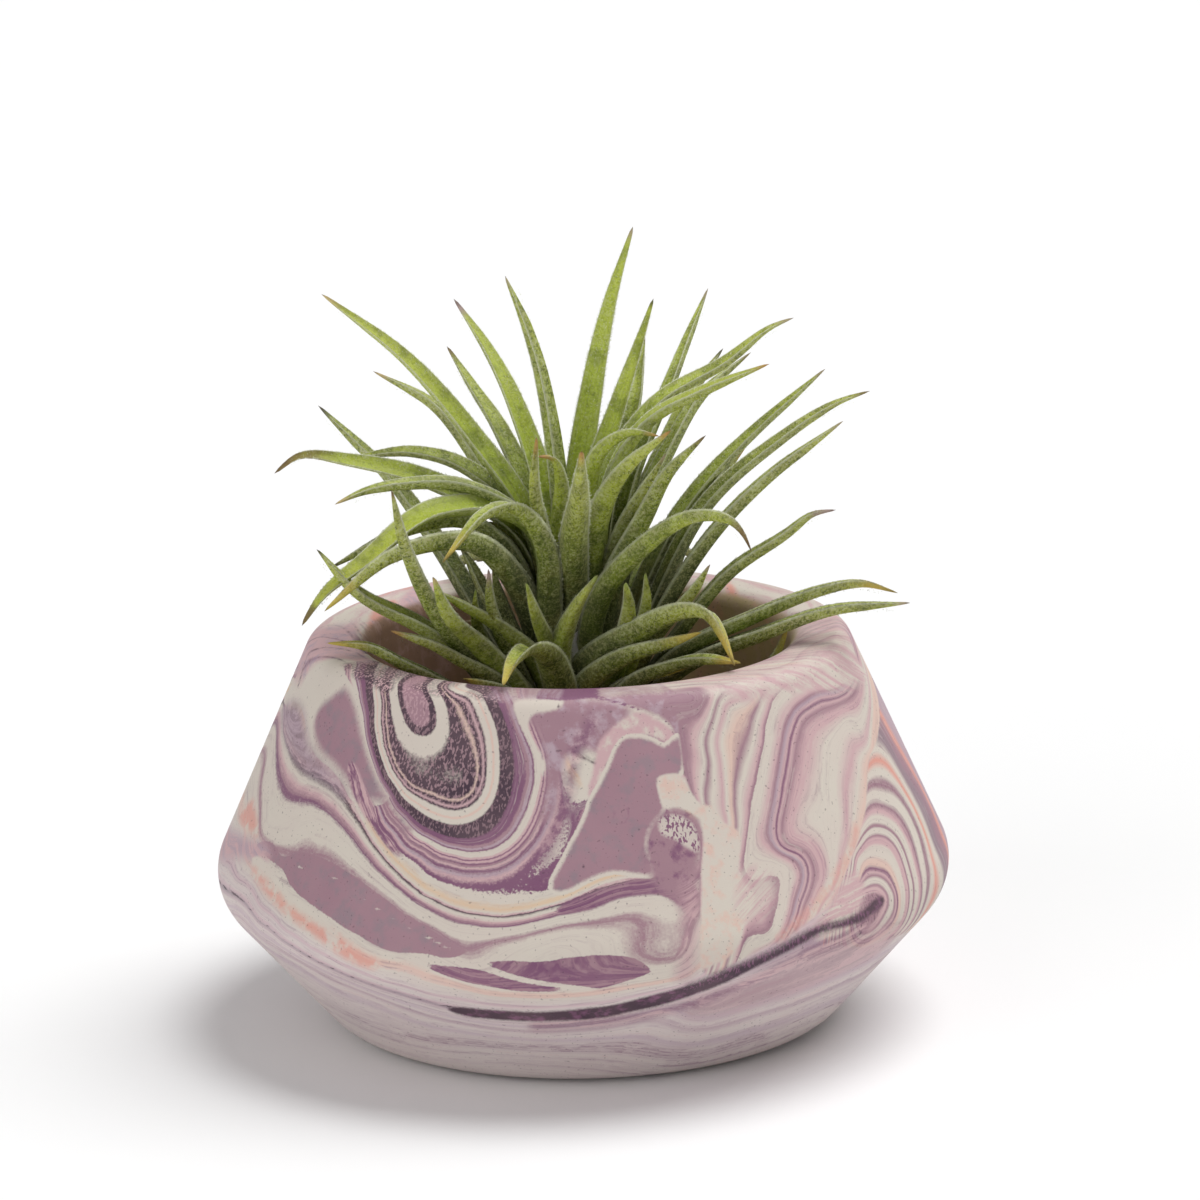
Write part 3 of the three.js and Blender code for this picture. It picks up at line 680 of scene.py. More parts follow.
def level_field(lines, outline, extra=()):
    """A smooth level over space that stays close to the given level along each traced line."""
    spots, levels = [], []
    for level, text in lines:
        cast = cast_on_pot(traced(text), outline)
        spots.append(cast)
        levels += [level] * len(cast)
    for spot, level in extra:
        spots.append(np.array([spot]))
        levels.append(level)
    spots = np.concatenate(spots)
    count = len(spots)
    reach = np.linalg.norm(spots[:, None] - spots[None], axis=2)
    plane = np.hstack([np.ones((count, 1)), spots])
    whole = np.zeros((count + 4, count + 4))
    whole[:count, :count] = reach ** 3 + np.eye(count) * LEVEL_SMOOTHING
    whole[:count, count:] = plane
    whole[count:, :count] = plane.T
    weights = np.linalg.solve(whole, np.concatenate([levels, np.zeros(4)]))

    def level_at(points):
        near = np.linalg.norm(points[:, None] - spots[None], axis=2)
        return near ** 3 @ weights[:count] + weights[count] + points @ weights[count + 1:]

    def in_batches(points):
        return np.concatenate([level_at(part) for part in np.array_split(points, LEVEL_BATCHES)])

    return in_batches


def rounded(points, closed, pieces=4):
    """An outline or line rounded by a curve through its points."""
    p = np.array(points)
    before, after, further = np.roll(p, 1, 0), np.roll(p, -1, 0), np.roll(p, -2, 0)
    if not closed:
        before[0], after[-1], further[-1], further[-2] = p[0], p[-1], p[-1], p[-1]
    out = []
    for i in range(pieces):
        t = i / pieces
        out.append(0.5 * ((2 * p) + (after - before) * t + (2 * before - 5 * p + 4 * after - further) * t ** 2
                          + (3 * p - before - 3 * after + further) * t ** 3))
    return np.stack(out, 1).reshape(-1, 2)


def distance_inside(loop, points, closed):
    """How far each point lies inside the closed loop, or minus its distance to the open line."""
    start, end = (loop, np.roll(loop, -1, 0)) if closed else (loop[:-1], loop[1:])
    nearest = np.full(len(points), np.inf)
    inside = np.zeros(len(points), bool)
    for a, b in zip(start, end):
        run = b - a
        share_along = np.clip(((points - a) @ run) / max(run @ run, 1e-12), 0, 1)
        nearest = np.minimum(nearest, np.linalg.norm(points - a - share_along[:, None] * run, axis=1))
        crosses = (a[1] > points[:, 1]) != (b[1] > points[:, 1])
        if closed and abs(run[1]) > 1e-9:
            inside ^= crosses & (points[:, 0] < a[0] + (points[:, 1] - a[1]) * run[0] / run[1])
    return np.where(inside, nearest, -nearest)


# The width of one of the picture's pixels at the pot, and the depth at which a shape's values stop
PICTURE_MM = 0.15
DEEPEST_MM = 6


def shape_value(shapes, line, spots, outline, flatten):
    """How far points lie inside the shapes, in millimetres. A line has its half width in pixels."""
    closed = not line
    flat = flatten(spots)
    values = []
    for text in shapes:
        path = rounded(flatten(cast_on_pot(traced(text), outline)), closed)
        values.append(distance_inside(path, flat, closed) + line * PICTURE_MM)
    return np.clip(np.max(values, axis=0), -DEEPEST_MM, DEEPEST_MM)


def write_attribute(mesh, name, values):
    layer = mesh.attributes.new(name, "FLOAT", "POINT")
    layer.data.foreach_set("value", np.asarray(values, np.float32))


def back_points(settings, outline):
    """Levels at points round the back, which carry the lines on from the front."""
    points = []
    for i, bearing in enumerate(BACK_BEARINGS):
        for height, level in BACK_LEVELS:
            angle = math.radians(bearing)
            wave = BACK_SWING * math.sin(BACK_WAVE_STEP * i + height / BACK_WAVE_HEIGHT)
            outside = (p for p in outline if p.x > settings.mouth)
            nearest = min(outside, key=lambda p: abs(p.y / MM - height))
            radius = nearest.x / MM
            points.append(((radius * math.sin(angle), -radius * math.cos(angle), height), level + wave))
    return points


def lay_marbling(mesh, outline, settings):
    """Writes the levels and the poured shapes on the pot's points."""
    spots = np.empty(len(mesh.vertices) * 3, np.float32)
    mesh.vertices.foreach_get("co", spots)
    spots = spots.reshape(-1, 3).astype(float) / MM
    write_attribute(mesh, "rings", level_field(RING_LINES, outline, back_points(settings, outline))(spots))
    write_attribute(mesh, "folds", level_field(FOLD_LINES, outline)(spots))
    write_attribute(mesh, "eye", level_field(EYE_LINES, outline)(spots))

    def round_the_side(points):
        return unrolled(points, settings)

    def from_above(points):
        return points[:, :2]

    write_attribute(mesh, "fold_region", shape_value([FOLD_REGION], 0, spots, outline, round_the_side))
    write_attribute(mesh, "eye_region", shape_value([EYE_REGION], 0, spots, outline, round_the_side))
    for pour in POURS_BELOW_FOLDS + POURS_ABOVE_FOLDS + POURS_ON_LIP:
        flatten = from_above if pour.on_top else round_the_side
        write_attribute(mesh, pour.name, shape_value(pour.shapes, pour.line, spots, outline, flatten))


class SKYPLANT_OT_pot(bpy.types.Operator):
    """Add the marbled pot, spun from its outline"""
    bl_idname = "sky_plant.pot"
    bl_label = "Marbled pot"

    def execute(self, context):
        settings = context.scene.sky_plant_pot
        outline = pot_outline(settings)
        piece = finished(spun(outline, settings.steps), "pot_marbled", "pot",
                         marbled_casting(settings))
        lay_marbling(piece.data, outline, settings)
        return {"FINISHED"}


# Each edge of a band is blended over at most this share of the band
WIDEST_BLUR = 0.45
# Where one look gives way to the next, in millimetres
TOP_OF_POT = (48.0, 52.0)
LIP_TOP = (54.0, 57.5)
BEHIND_THE_AXIS = (2.0, 10.0)
WALL_RADIUS = (33.0, 32.0)
# From the painted shade on the left of the inner wall to its paler tan on the right
WALL_SHADE_TO_LIGHT = (-24.0, 10.0)
# The same by level
OUTER_START = 8.0
LOWER_CONE = (12.5, 14.5)


def band_stops(bands, settings, start, blur):
    """Ramp stops for bands that follow each other, with a blend between them."""
    span = bands[-1][0] - start
    stops = []
    low = start
    for top, name, dashes in bands:
        edge = min(blur, (top - low) * WIDEST_BLUR)
        for level in (low + edge, top - edge):
            stops.append(((level - start) / span, getattr(settings, name), dashes))
        low = top
    return stops


class Marbling:
    """The nodes of the pot's colours. Each step lays its colour over the last."""

    def __init__(self, finish, settings):
        self.finish = finish
        self.settings = settings
        self.place = finish.place()
        self.across, self.back, self.height = finish.parts(self.place)
        self.wobble = finish.noise(self.place, 0.16, 3.0) - 0.5
        self.fray = finish.noise(self.place, 2.2, 3.0, 0.7) - 0.5
        dash_place = finish.vector("MULTIPLY", self.place, (2.9, 2.9, 1.0))
        self.dashes = finish.noise(dash_place, 1.0, 1.0, 0.6).rise(0.50, 0.61)
        self.cloud = finish.noise(self.place, 0.45, 4.0, 0.6).rise(0.46, 0.68)
        self.level = finish.attribute("rings")
        self.streaks = self.flow(self.level, 5.0)
        self.base = None

    def flow(self, level, fine):
        """Streaks that follow the lines of equal level, from 0 to 1 around 0.5."""
        flow = self.finish.add("ShaderNodeCombineXYZ", None, {"X": level * fine, "Y": self.wobble * 2.5})
        drift = self.finish.vector("SCALE", self.place, Scale=0.05)
        return self.finish.noise(self.finish.vector("ADD", flow, drift), 1.0, 4.0, 0.7)

    def drawn_out(self, rgb, streaks, amount):
        """The colour with darker and paler streaks in it."""
        darker = self.finish.mix(streaks.rise(0.52, 0.74) * amount, rgb, tuple(self.settings.purple))
        return self.finish.mix(streaks.rise(0.48, 0.28) * amount, darker, tuple(self.settings.cream))

    def bands(self, level, bands, start, blur):
        """Colour and share of dashes by level, at most sixteen bands to a ramp."""
        half = len(bands) // 2 + 1
        parts = [(bands[:half], start), (bands[half - 1:], bands[half - 2][0])]
        results = []
        for part, low in parts:
            where = (level - low) / (part[-1][0] - low)
            stops = band_stops(part, self.settings, low, blur)
            ramp = self.finish.add("ShaderNodeValToRGB", {"stops": stops}, {0: where})
            share_of_dashes = Signal(self.finish, ramp.socket.node.outputs["Alpha"])
            results.append((ramp, share_of_dashes, low))
        (first, first_dashes, _), (second, second_dashes, split) = results
        over = level.rise(split - 0.01, split + 0.01)
        return self.finish.mix(over, first, second), first_dashes * (1.0 - over) + second_dashes * over

    def lay(self, amount, rgb):
        self.base = rgb if self.base is None else self.finish.mix(amount, self.base, rgb)

    def pour(self, pour):
        s, finish = self.settings, self.finish
        value = finish.attribute(pour.name) + self.wobble * 0.6 + self.fray * (0.3 + pour.soft * 0.6)
        if pour.rim:
            outer = value + pour.rim_width
            self.lay(outer.rise(-0.1, 0.1), tuple(getattr(s, pour.rim)))
        marks = {
            "dashes": self.dashes,
            "cloud": self.cloud,
            "streaks": self.streaks.rise(0.4, 0.6),
        }[pour.mottling]
        rgb = finish.mix(marks, tuple(getattr(s, pour.rgb)), tuple(getattr(s, pour.second)))
        amount = value.rise(-pour.soft, pour.soft) * pour.strength
        self.lay(amount * self.height.rise(*TOP_OF_POT) if pour.on_top else amount, rgb)


def marbled_casting(settings):
    """Matte cast mix with poured colours: rings and sweeps by level, shapes poured over them, fine dashes."""
    finish = Finish("marbled casting")
    work = Marbling(finish, settings)
    busy = finish.noise(work.place, 0.07, 2.0).rise(0.35, 0.62) * 0.7 + 0.3
    lay_rings(work, busy)
    for pour in POURS_BELOW_FOLDS:
        work.pour(pour)
    lay_folds(work, busy)
    lay_eye(work, busy)
    for pour in POURS_ABOVE_FOLDS:
        work.pour(pour)
    lay_lip_and_wall(work)
    specks = finish.noise(work.place, 2.6, 0.0).rise(0.76, 0.80)
    work.lay(specks * 0.4, tuple(settings.plum))
    stains = finish.noise(work.place, 0.09, 3.0) - 0.5
    rosier = finish.mix(0.5, work.base, tuple(settings.rose))
    tone = finish.mix((stains * 0.6 + 0.12).clamped(), work.base, rosier)
    pits = finish.noise(work.place, 1.3, 0.0).rise(0.79, 0.83)
    grain = finish.noise(work.place, 3.0, 3.0)
    bump = finish.add("ShaderNodeBump", None, {
        "Strength": 0.25, "Distance": 0.0003, "Height": grain * 0.25 - pits})
    return finish.surface(Base_Color=tone, Roughness=0.58 + grain * 0.12, Normal=bump)


def lay_rings(work, busy):
    """The rings with their dark dashes, the sweeps round them and the hazy lower cone."""
    s, finish = work.settings, work.finish
    level = work.level + work.wobble * 0.16 + work.fray * 0.20
    inner, inner_dashes = work.bands(level, INNER_BANDS, 0.0, 0.06)
    inner = work.drawn_out(inner, work.flow(work.level, 9.0), level.rise(4.9, 5.3) * 0.5)
    dash = finish.mix(0.3, tuple(s.rose), tuple(s.purple))
    inner = finish.mix(inner_dashes * work.dashes * 1.5, inner, dash)
    outer, _ = work.bands(level + (work.streaks - 0.5) * 0.5, OUTER_BANDS, OUTER_START, 0.14)
    outer = work.drawn_out(outer, work.streaks, busy * 0.45)
    outer = work.drawn_out(outer, work.flow(work.level, 16.0), busy * 0.3)
    work.lay(1.0, finish.mix(level.rise(OUTER_START - 0.02, OUTER_START + 0.02), inner, outer))
    low = level.rise(*LOWER_CONE)
    work.lay(low * 0.5, tuple(s.veil))
    work.lay(low * work.streaks.rise(0.40, 0.62) * 0.4, tuple(s.lilac))
    work.lay(low * work.streaks.rise(0.40, 0.28) * 0.4, tuple(s.rose))
    work.lay(low * work.streaks.rise(0.58, 0.70) * 0.5, tuple(s.purple))


def lay_folds(work, busy):
    """The steep folds right of the middle."""
    finish = work.finish
    fold_level = finish.attribute("folds")
    folds, _ = work.bands(fold_level + work.wobble * 0.3 + work.fray * 0.08, FOLD_BANDS, 0.0, 0.3)
    folds = work.drawn_out(folds, work.flow(fold_level, 3.0), busy * 0.4)
    folds = work.drawn_out(folds, work.flow(fold_level, 11.0), busy * 0.35)
    work.lay((finish.attribute("fold_region") + work.wobble * 0.4).rise(-0.3, 0.3), folds)


def lay_eye(work, busy):
    """The rings at the right end."""
    finish = work.finish
    eye_level = finish.attribute("eye")
    eye, eye_dashes = work.bands(eye_level + work.wobble * 0.2 + work.fray * 0.08, EYE_BANDS, 0.0, 0.12)
    eye = work.drawn_out(eye, work.flow(eye_level, 9.0), busy * 0.5)
    eye = finish.mix(eye_dashes * work.dashes, eye, tuple(work.settings.plum))
    work.lay((finish.attribute("eye_region") + work.wobble * 0.3).rise(-0.3, 0.3), eye)


def lay_lip_and_wall(work):
    """The rosy back of the lip, the shapes poured on it and the bare inner wall, with painted shade darkening
    the wall's left side.
    """
    s, finish = work.settings, work.finish
    from_axis = (work.across * work.across + work.back * work.back) ** 0.5
    round_the_lip = finish.add("ShaderNodeCombineXYZ", None, {
        "X": from_axis * 0.5 + work.wobble * 2.0, "Y": work.across * 0.06, "Z": work.back * 0.06})
    lip_streaks = finish.noise(round_the_lip, 1.0, 4.0, 0.65)
    lip = finish.mix(lip_streaks.rise(0.42, 0.64) * 0.85, tuple(s.cream), tuple(s.rose))
    lip = finish.mix(lip_streaks.rise(0.60, 0.72) * 0.7, lip, tuple(s.coral))
    work.lay(work.height.rise(*LIP_TOP) * work.back.rise(*BEHIND_THE_AXIS), lip)
    for pour in POURS_ON_LIP:
        work.pour(pour)
    # Painted shade: the inner wall turns dark brown towards the left, where shade falls, and paler tan
    # towards the right
    wall = finish.mix(work.across.rise(*WALL_SHADE_TO_LIGHT), tuple(s.wall_painted_shade), tuple(s.wall))
    wall = finish.mix(lip_streaks.rise(0.56, 0.74) * 0.5, wall, tuple(s.coral))
    wall = finish.mix(work.cloud * 0.25, wall, tuple(s.rose))
    work.lay((from_axis + work.fray * 0.5).rise(*WALL_RADIUS), wall)


# The leaves

# The crown's place, and its outline as (radius, height over its bottom), in millimetres
CROWN = np.array([-0.5, -1.0, 0.0])
CROWN_BOTTOM = 35.5
CROWN_STEPS = 28
CROWN_OUTLINE = [(0, 0), (4.5, 0), (7.6, 4), (8.4, 9), (7, 17), (4.4, 26), (1.6, 34), (0, 35)]
# A leaf's root rises by ROOT_RISE for each millimetre that its first point lies over LOWEST_LEAVING
LEAF_ROOT_RADIUS = 3
LOWEST_ROOT = 38.5
LOWEST_LEAVING = 54
ROOT_RISE = 0.34
# How a leaf widens towards its root and narrows towards its tip, as shares of its length and width
SHEATH_SHARE = 0.28
SHEATH_WIDENING = 0.8
TAPER_SHARE = 0.62
TAPER_POWER = 0.88
TIP_BLUNTNESS = 0.14
TIP_ROUNDING = 0.02
TIP_THINNING = 0.12
ROUNDNESS = 0.7  # power that rounds the underside, and the thickness towards the tip
TIP_CROWDING = 1.15  # power by which the stations crowd towards the tip
TONE_SEED = 3

TIPS = {
    "tan": "#a8967c", "sand": "#c2a878", "rose": "#a98e90", "brown": "#6e4f38", "dark": "#33261f",
    "yellow": "#c9b04e", "orange": "#b5824a", "green": "#8a9a4a", "hook": "#7a5a3c",
}

# Each leaf: width, turn about its midrib, tip colour, share of the length that the tip takes, freshness,
# and the points that its midrib passes from the crown to the tip, in millimetres
UPRIGHT_LEAVES = [
    (4.1, 0, "tan", 0.05, 0.8, (0, 4, 76), (3, 10, 94.5), (5.7, 16.5, 105), (9.5, 24, 115.3)),
    (4.8, 25, "tan", 0.05, 0.3, (-2.2, -1, 78), (-4.4, -0.5, 96.5), (-6.7, -0.5, 105), (-9.7, 0, 113)),
    (4.2, 0, "rose", 0.08, 0.8, (-4.2, 3.5, 76), (-8.9, 7.5, 92), (-12.8, 12.5, 99.5), (-17.7, 18, 106)),
    (4, 0, "brown", 0.06, 0.4, (-5.6, 5, 74.1), (-11, 10.5, 87), (-14.9, 16, 92.5), (-19, 22, 97.9)),
    (4.2, -25, "sand", 0.06, 0.8, (-6.5, 1, 74), (-15.8, 2.5, 89.1), (-25.2, 3.5, 100.5), (-37, 4, 110)),
    (3.8, 5, "sand", 0.07, 0.3, (-9, 3, 73.1), (-15.2, 8.5, 84.4), (-21.2, 12, 91.5), (-30.1, 16, 95.6)),
    (4, 10, "dark", 0.04, 0.9, (3, 4, 80), (6.6, 7, 91), (9.5, 11.5, 98.5), (12.3, 16, 105.8)),
    (4, 0, "brown", 0.05, 0.5, (4.5, 5, 76), (9, 12.5, 90), (10, 19, 94), (11, 26, 98)),
    (3, 0, "tan", 0.05, 0.5, (7.5, 5, 77.9), (14.8, 14, 94.1), (17.6, 21, 99.4), (20.8, 28, 104.8)),
    (4, 0, "dark", 0.05, 0.4, (8, 4, 72), (14.5, 13, 85.5), (18, 21.5, 90.5), (23, 30, 95)),
    (4, 0, "brown", 0.05, 0.4, (7, 2, 70), (14.5, 9.5, 85), (19.5, 15.5, 91.5), (27, 22, 96)),
    (4, 15, "tan", 0.06, 0.6, (4, 0, 80), (12, 2, 92.5), (22.5, 4, 98.5), (29, 5.5, 103), (33, 6, 104.5)),
    (4.2, 35, "orange", 0.06, 0.9, (4.5, -3, 81), (10.5, -3, 91), (19.5, -3, 96), (29, -3, 99.5)),
    (4, 0, "brown", 0.05, 0.4, (0, 8, 67), (1, 19, 78), (1.7, 31, 83)),
    (4, 0, "brown", 0.05, 0.4, (-2.5, 7, 67), (-3.5, 19, 78), (-4.2, 31, 84)),
    (4, 0, "brown", 0.05, 0.4, (-4, 8, 65), (-6.5, 20, 77), (-8, 34, 82)),
    (4, 0, "brown", 0.05, 0.4, (2.5, 8, 65), (4, 20, 77), (4.6, 34, 82)),
]
LEFT_LEAVES = [
    (4.2, 0, "dark", 0.05, 0.2, (-14.5, 5, 60), (-21.5, 8.5, 71.5), (-29, 12.5, 81.5), (-38.5, 16, 90.5)),
    (3.8, -10, "tan", 0.05, 0.4, (-8, 2, 75), (-16, 3.5, 83.2), (-24.5, 4.5, 85.8), (-34, 6, 84.5)),
    (4.2, -40, "hook", 0.17, 0.8, (-8, 0, 73), (-22, -1, 82.5), (-33.5, -2, 86), (-40.5, -2.5, 87),
     (-44.5, -3, 84.5)),
    (4.6, -10, "sand", 0.06, 0.3, (-7, -3, 75.5), (-16.5, -5, 82.5), (-26, -7, 83.5), (-31, -8, 82.8),
     (-35.5, -9, 81)),
    (4.6, 40, "dark", 0.05, 0.3, (-8.4, -2, 67.7), (-12.1, -3.5, 74), (-16.9, -4.5, 77.2), (-27.1, -7.5, 76),
     (-36.6, -10, 71.5)),
    (5.2, -45, "brown", 0.07, 0.9, (-7, -5, 76.5), (-20.5, -9.5, 79.8), (-31, -13.5, 73.5),
     (-37, -16.5, 69.5), (-40.5, -18, 65)),
    (5, 45, "yellow", 0.14, 0.3, (-7.7, -6, 63.6), (-11, -8.5, 70.7), (-16, -11, 75.3), (-27.5, -16.5, 74.7),
     (-37, -22, 68.1)),
    (3.8, 0, "brown", 0.05, 0.3, (-13, -8.5, 52.5), (-21, -16.5, 66.5), (-24.5, -23.5, 77), (-26.5, -30, 88)),
    (5, -20, "dark", 0.05, 0.6, (-13, -7, 53), (-22.5, -11.5, 62.5), (-31.5, -14.5, 68.5), (-38, -18, 76.5)),
    (3.8, -10, "yellow", 0.17, 0.4, (-20.5, -12, 54.5), (-26, -13.5, 58), (-31, -14.5, 61), (-37, -16, 61.8)),
    (3.8, -10, "orange", 0.11, 0.4, (-12.5, -11, 54.5), (-17.5, -14, 58.5), (-22, -17, 62),
     (-27.5, -20, 64.5)),
    (4.3, 0, "yellow", 0.14, 0.5, (-4.5, -7, 62), (-5, -12, 75), (-9, -17, 82), (-13.5, -21, 82),
     (-19.5, -26, 76)),
    (5.6, 0, "sand", 0.05, 0.9, (-9.5, -9, 52), (-15, -14, 60.5), (-19, -19.5, 66.5), (-21, -24, 73.5)),
    (5.2, -20, "sand", 0.05, 0.9, (-6, -7, 55), (-11, -11, 62), (-15.5, -14, 66), (-20.5, -17, 69.5)),
    (3, 0, "rose", 0.12, 0.4, (-9.5, -8, 56), (-12.5, -13.5, 65.5), (-13, -18, 73)),
    (2.6, 0, "green", 0.07, 0.5, (-14.5, -9, 61.5), (-15, -12, 65.5), (-15, -14, 69)),
    (4.4, -15, "brown", 0.05, 0.2, (-11.4, 2, 59.5), (-14, 3, 64.6), (-16, 5, 68.4), (-17.6, 6, 70.7)),
    (4.2, 30, "brown", 0.05, 0.2, (-9.6, -3, 58.3), (-10.9, -3, 62.6), (-11.8, -3, 66), (-12.6, -3, 69.6)),
    (4.6, -25, "brown", 0.05, 0.2, (-6.4, 0, 65.2), (-7.7, 0, 70.4), (-10, -1, 74.1), (-13.2, -2, 76.2)),
]
MIDDLE_LEAVES = [
    (3.4, 0, "orange", 0.07, 0.4, (-3.5, -5, 62), (-5, -10.5, 75.5), (-6, -16.5, 84.5), (-5.5, -22, 93.5)),
    (5, 0, "orange", 0.08, 0.9, (-3, -4, 70.5), (-2.5, -7, 78), (-2.2, -10, 84.5), (-3.2, -12, 88),
     (-5.5, -13.5, 88.6)),
    (4.8, 0, "orange", 0.07, 0.4, (-1, -5, 62), (-0.5, -13.5, 75.5), (0.5, -23, 84.5), (1, -34, 94)),
    (5.2, 0, "orange", 0.05, 1.0, (1.5, -4, 72), (2, -6, 82), (4, -7.5, 88), (8, -9, 91), (12.5, -10, 90.5)),
    (5, 0, "orange", 0.07, 0.8, (2, -5, 68), (4, -11.5, 80), (8, -18.5, 88.5), (14, -26, 95)),
    (4.4, 0, "tan", 0.05, 0.4, (4, -3, 66), (7, -4.5, 76), (10, -6.5, 82), (13.5, -8, 87.5)),
    (4.8, 0, "brown", 0.06, 0.4, (4.9, -5, 66), (10.3, -10.5, 78.8), (14, -15.5, 87), (19.1, -20, 92.8)),
]
RIGHT_LEAVES = [
    (3.2, 5, "tan", 0.05, 0.5, (10.5, 5, 66), (17.5, 8.5, 77), (27.5, 12.5, 86.5), (38, 16, 94.5)),
    (3.6, 15, "brown", 0.05, 0.3, (10, 0, 60), (19.1, 0.5, 77.4), (30.5, 1.5, 87.2), (38.3, 2, 92.1),
     (44, 2, 94)),
    (3.6, 0, "orange", 0.10, 0.4, (13, 3, 65), (18.5, 7.5, 76), (22, 10.5, 80), (26, 14, 83.5)),
    (4.2, 5, "tan", 0.06, 0.3, (10, -3, 58), (19.5, -4.5, 73.7), (29, -6.5, 83.9), (39.6, -8, 91.8)),
    (3.4, 10, "rose", 0.10, 0.3, (16.3, -5, 61.6), (22.6, -6.5, 69.2), (30.3, -7.5, 74.6), (34.6, -8, 77.8),
     (38.3, -9, 78.6)),
    (4.4, 10, "yellow", 0.17, 0.4, (14, -7.5, 56.5), (25, -7.5, 62), (36, -6.5, 66), (42, -6, 66.8),
     (47.5, -6, 65)),
    (4.4, 10, "tan", 0.06, 0.3, (15, -9, 55), (27.5, -10, 60.5), (38, -11, 64.2), (49, -12, 65)),
    (3.8, -25, "hook", 0.12, 0.75, (2.9, -8, 64.1), (9.6, -14.5, 74.6), (16.9, -19.5, 80.5), (22, -23, 81.1),
     (24, -25, 79.6), (25.3, -27, 76.9)),
    (3.8, 0, "tan", 0.06, 0.4, (11, -8, 59.5), (16, -12, 66.5), (19.5, -16, 72.5)),
    (2.2, 0, "yellow", 0.21, 1.0, (20, -7, 48), (28, -6.5, 55), (31.5, -6, 61.5)),
]
FRONT_LEAVES = [
    (5.2, 10, "yellow", 0.19, 0.5, (0.5, -9, 54), (9.5, -15.5, 62.5), (15.5, -20, 66.5), (18.6, -22.5, 66.9),
     (20.2, -24, 65.5), (22.6, -27.5, 59.9)),
    (4, 15, "yellow", 0.19, 0.4, (8, -13, 54), (14, -17.5, 58), (19, -22.5, 60), (23.5, -27, 60.3)),
    (4.4, 15, "yellow", 0.20, 0.5, (0.5, -11, 52), (6, -15, 58), (12, -18, 61), (18, -21, 63.5)),
    (5.2, 0, "yellow", 0.19, 0.5, (-2.5, -12, 50), (-4.5, -18, 59), (-7, -24, 62.5), (-9.5, -30, 62.2),
     (-11, -35.5, 59.9)),
    (3.4, 0, "green", 0.05, 0.9, (-4.5, -12, 59), (-6, -16, 64.5), (-7.5, -21, 71.5)),
    (3.8, 0, "green", 0.05, 0.9, (-3, -12, 58), (-0.5, -16, 66), (3, -19, 72)),
    (4.4, 0, "green", 0.05, 0.9, (7, -12, 60.5), (7.5, -16.5, 66.5), (7, -20, 71)),
    (3.2, 0, "green", 0.05, 1.0, (9, -10, 60.5), (10, -13, 66.5), (10, -16, 71.5)),
    (3.6, 0, "yellow", 0.19, 0.4, (5.5, -11, 52), (11, -15, 56), (16, -18, 57.5)),
    (3.6, 0, "yellow", 0.17, 0.4, (-8, -10, 50), (-13, -16, 55), (-17, -20, 57)),
]
# The leaves on the far side, which fill the crown all round, are spread over a range of bearings:
# count, bearing from, to, reach, top height, drop towards the tip, width
FAR_TIERS = [(9, 58, 124, 38, 68, 5, 3.9), (6, 40, 140, 24, 60, 1, 3.6)]
FAR_SEED = 11
FAR_RISE = 8  # rise from the first point to the second
FAR_REACH_SPREAD = 0.3
FAR_TOP_SPREAD = 6


def draws_from(seed):
    """A repeatable draw from 0 to 1."""
    state = seed
    while True:
        state = state * 16807 % 2147483647
        yield state / 2147483647


def around_crown(radius, bearing, height):
    return CROWN + (radius * math.cos(bearing), radius * math.sin(bearing), height)


def far_leaves():
    draw = draws_from(FAR_SEED)
    for count, first, last, reach, top, drop, wide in FAR_TIERS:
        for i in range(count):
            bearing = math.radians(first + (last - first) * (i + next(draw)) / count)
            far = reach * (1 + FAR_REACH_SPREAD * (next(draw) - 0.5))
            high = top + FAR_TOP_SPREAD * (next(draw) - 0.5)
            course = [(0.3, high - FAR_RISE), (0.65, high), (1, high - drop)]
            yield (wide, 0, "brown", 0.12, 0.4,
                   *(tuple(around_crown(far * part, bearing, height)) for part, height in course))


def curve_through(points):
    """A smooth curve that passes the points: shares of its length, places and directions."""
    ends = np.array([2 * points[0] - points[1], *points, 2 * points[-1] - points[-2]])
    spans = np.sqrt(np.linalg.norm(np.diff(ends, axis=0), axis=1))
    t = np.linspace(0, 1, 60, endpoint=False)[:, None]
    pieces = []
    for i in range(1, len(ends) - 2):
        a, b, c, d = ends[i - 1:i + 3]
        before, here, after = spans[i - 1:i + 2]
        leaving = here * ((b - a) / before - (c - a) / (before + here) + (c - b) / here)
        arriving = here * ((c - b) / here - (d - b) / (here + after) + (d - c) / after)
        pieces.append(b + leaving * t + (3 * (c - b) - 2 * leaving - arriving) * t ** 2
                      + (2 * (b - c) + leaving + arriving) * t ** 3)
    places = np.vstack([*pieces, ends[-2]])
    run = np.concatenate([[0], np.cumsum(np.linalg.norm(np.diff(places, axis=0), axis=1))])
    ahead = np.gradient(places, run, axis=0)
    return run / run[-1], places, ahead / np.linalg.norm(ahead, axis=1)[:, None]


def curve_at(curve, along):
    shares, places, ahead = curve
    place = np.stack([np.interp(along, shares, places[:, k]) for k in range(3)], 1)
    direction = np.stack([np.interp(along, shares, ahead[:, k]) for k in range(3)], 1)
    return place, direction / np.linalg.norm(direction, axis=1)[:, None]


def blade_frames(curve, along, turn):
    """Places on a curve, with the directions across the blade and out of its channelled face."""
    places, ahead = curve_at(curve, along)
    side = np.cross([0, 0, 1], ahead[0])
    sides = []
    for direction in ahead:
        side = side - direction * side.dot(direction)
        side /= np.linalg.norm(side)
        sides.append(side)
    sides = np.array(sides)
    angle = (math.radians(turn) * along)[:, None]
    sides = sides * np.cos(angle) + np.cross(ahead, sides) * np.sin(angle)
    return places, sides, np.cross(ahead, sides)


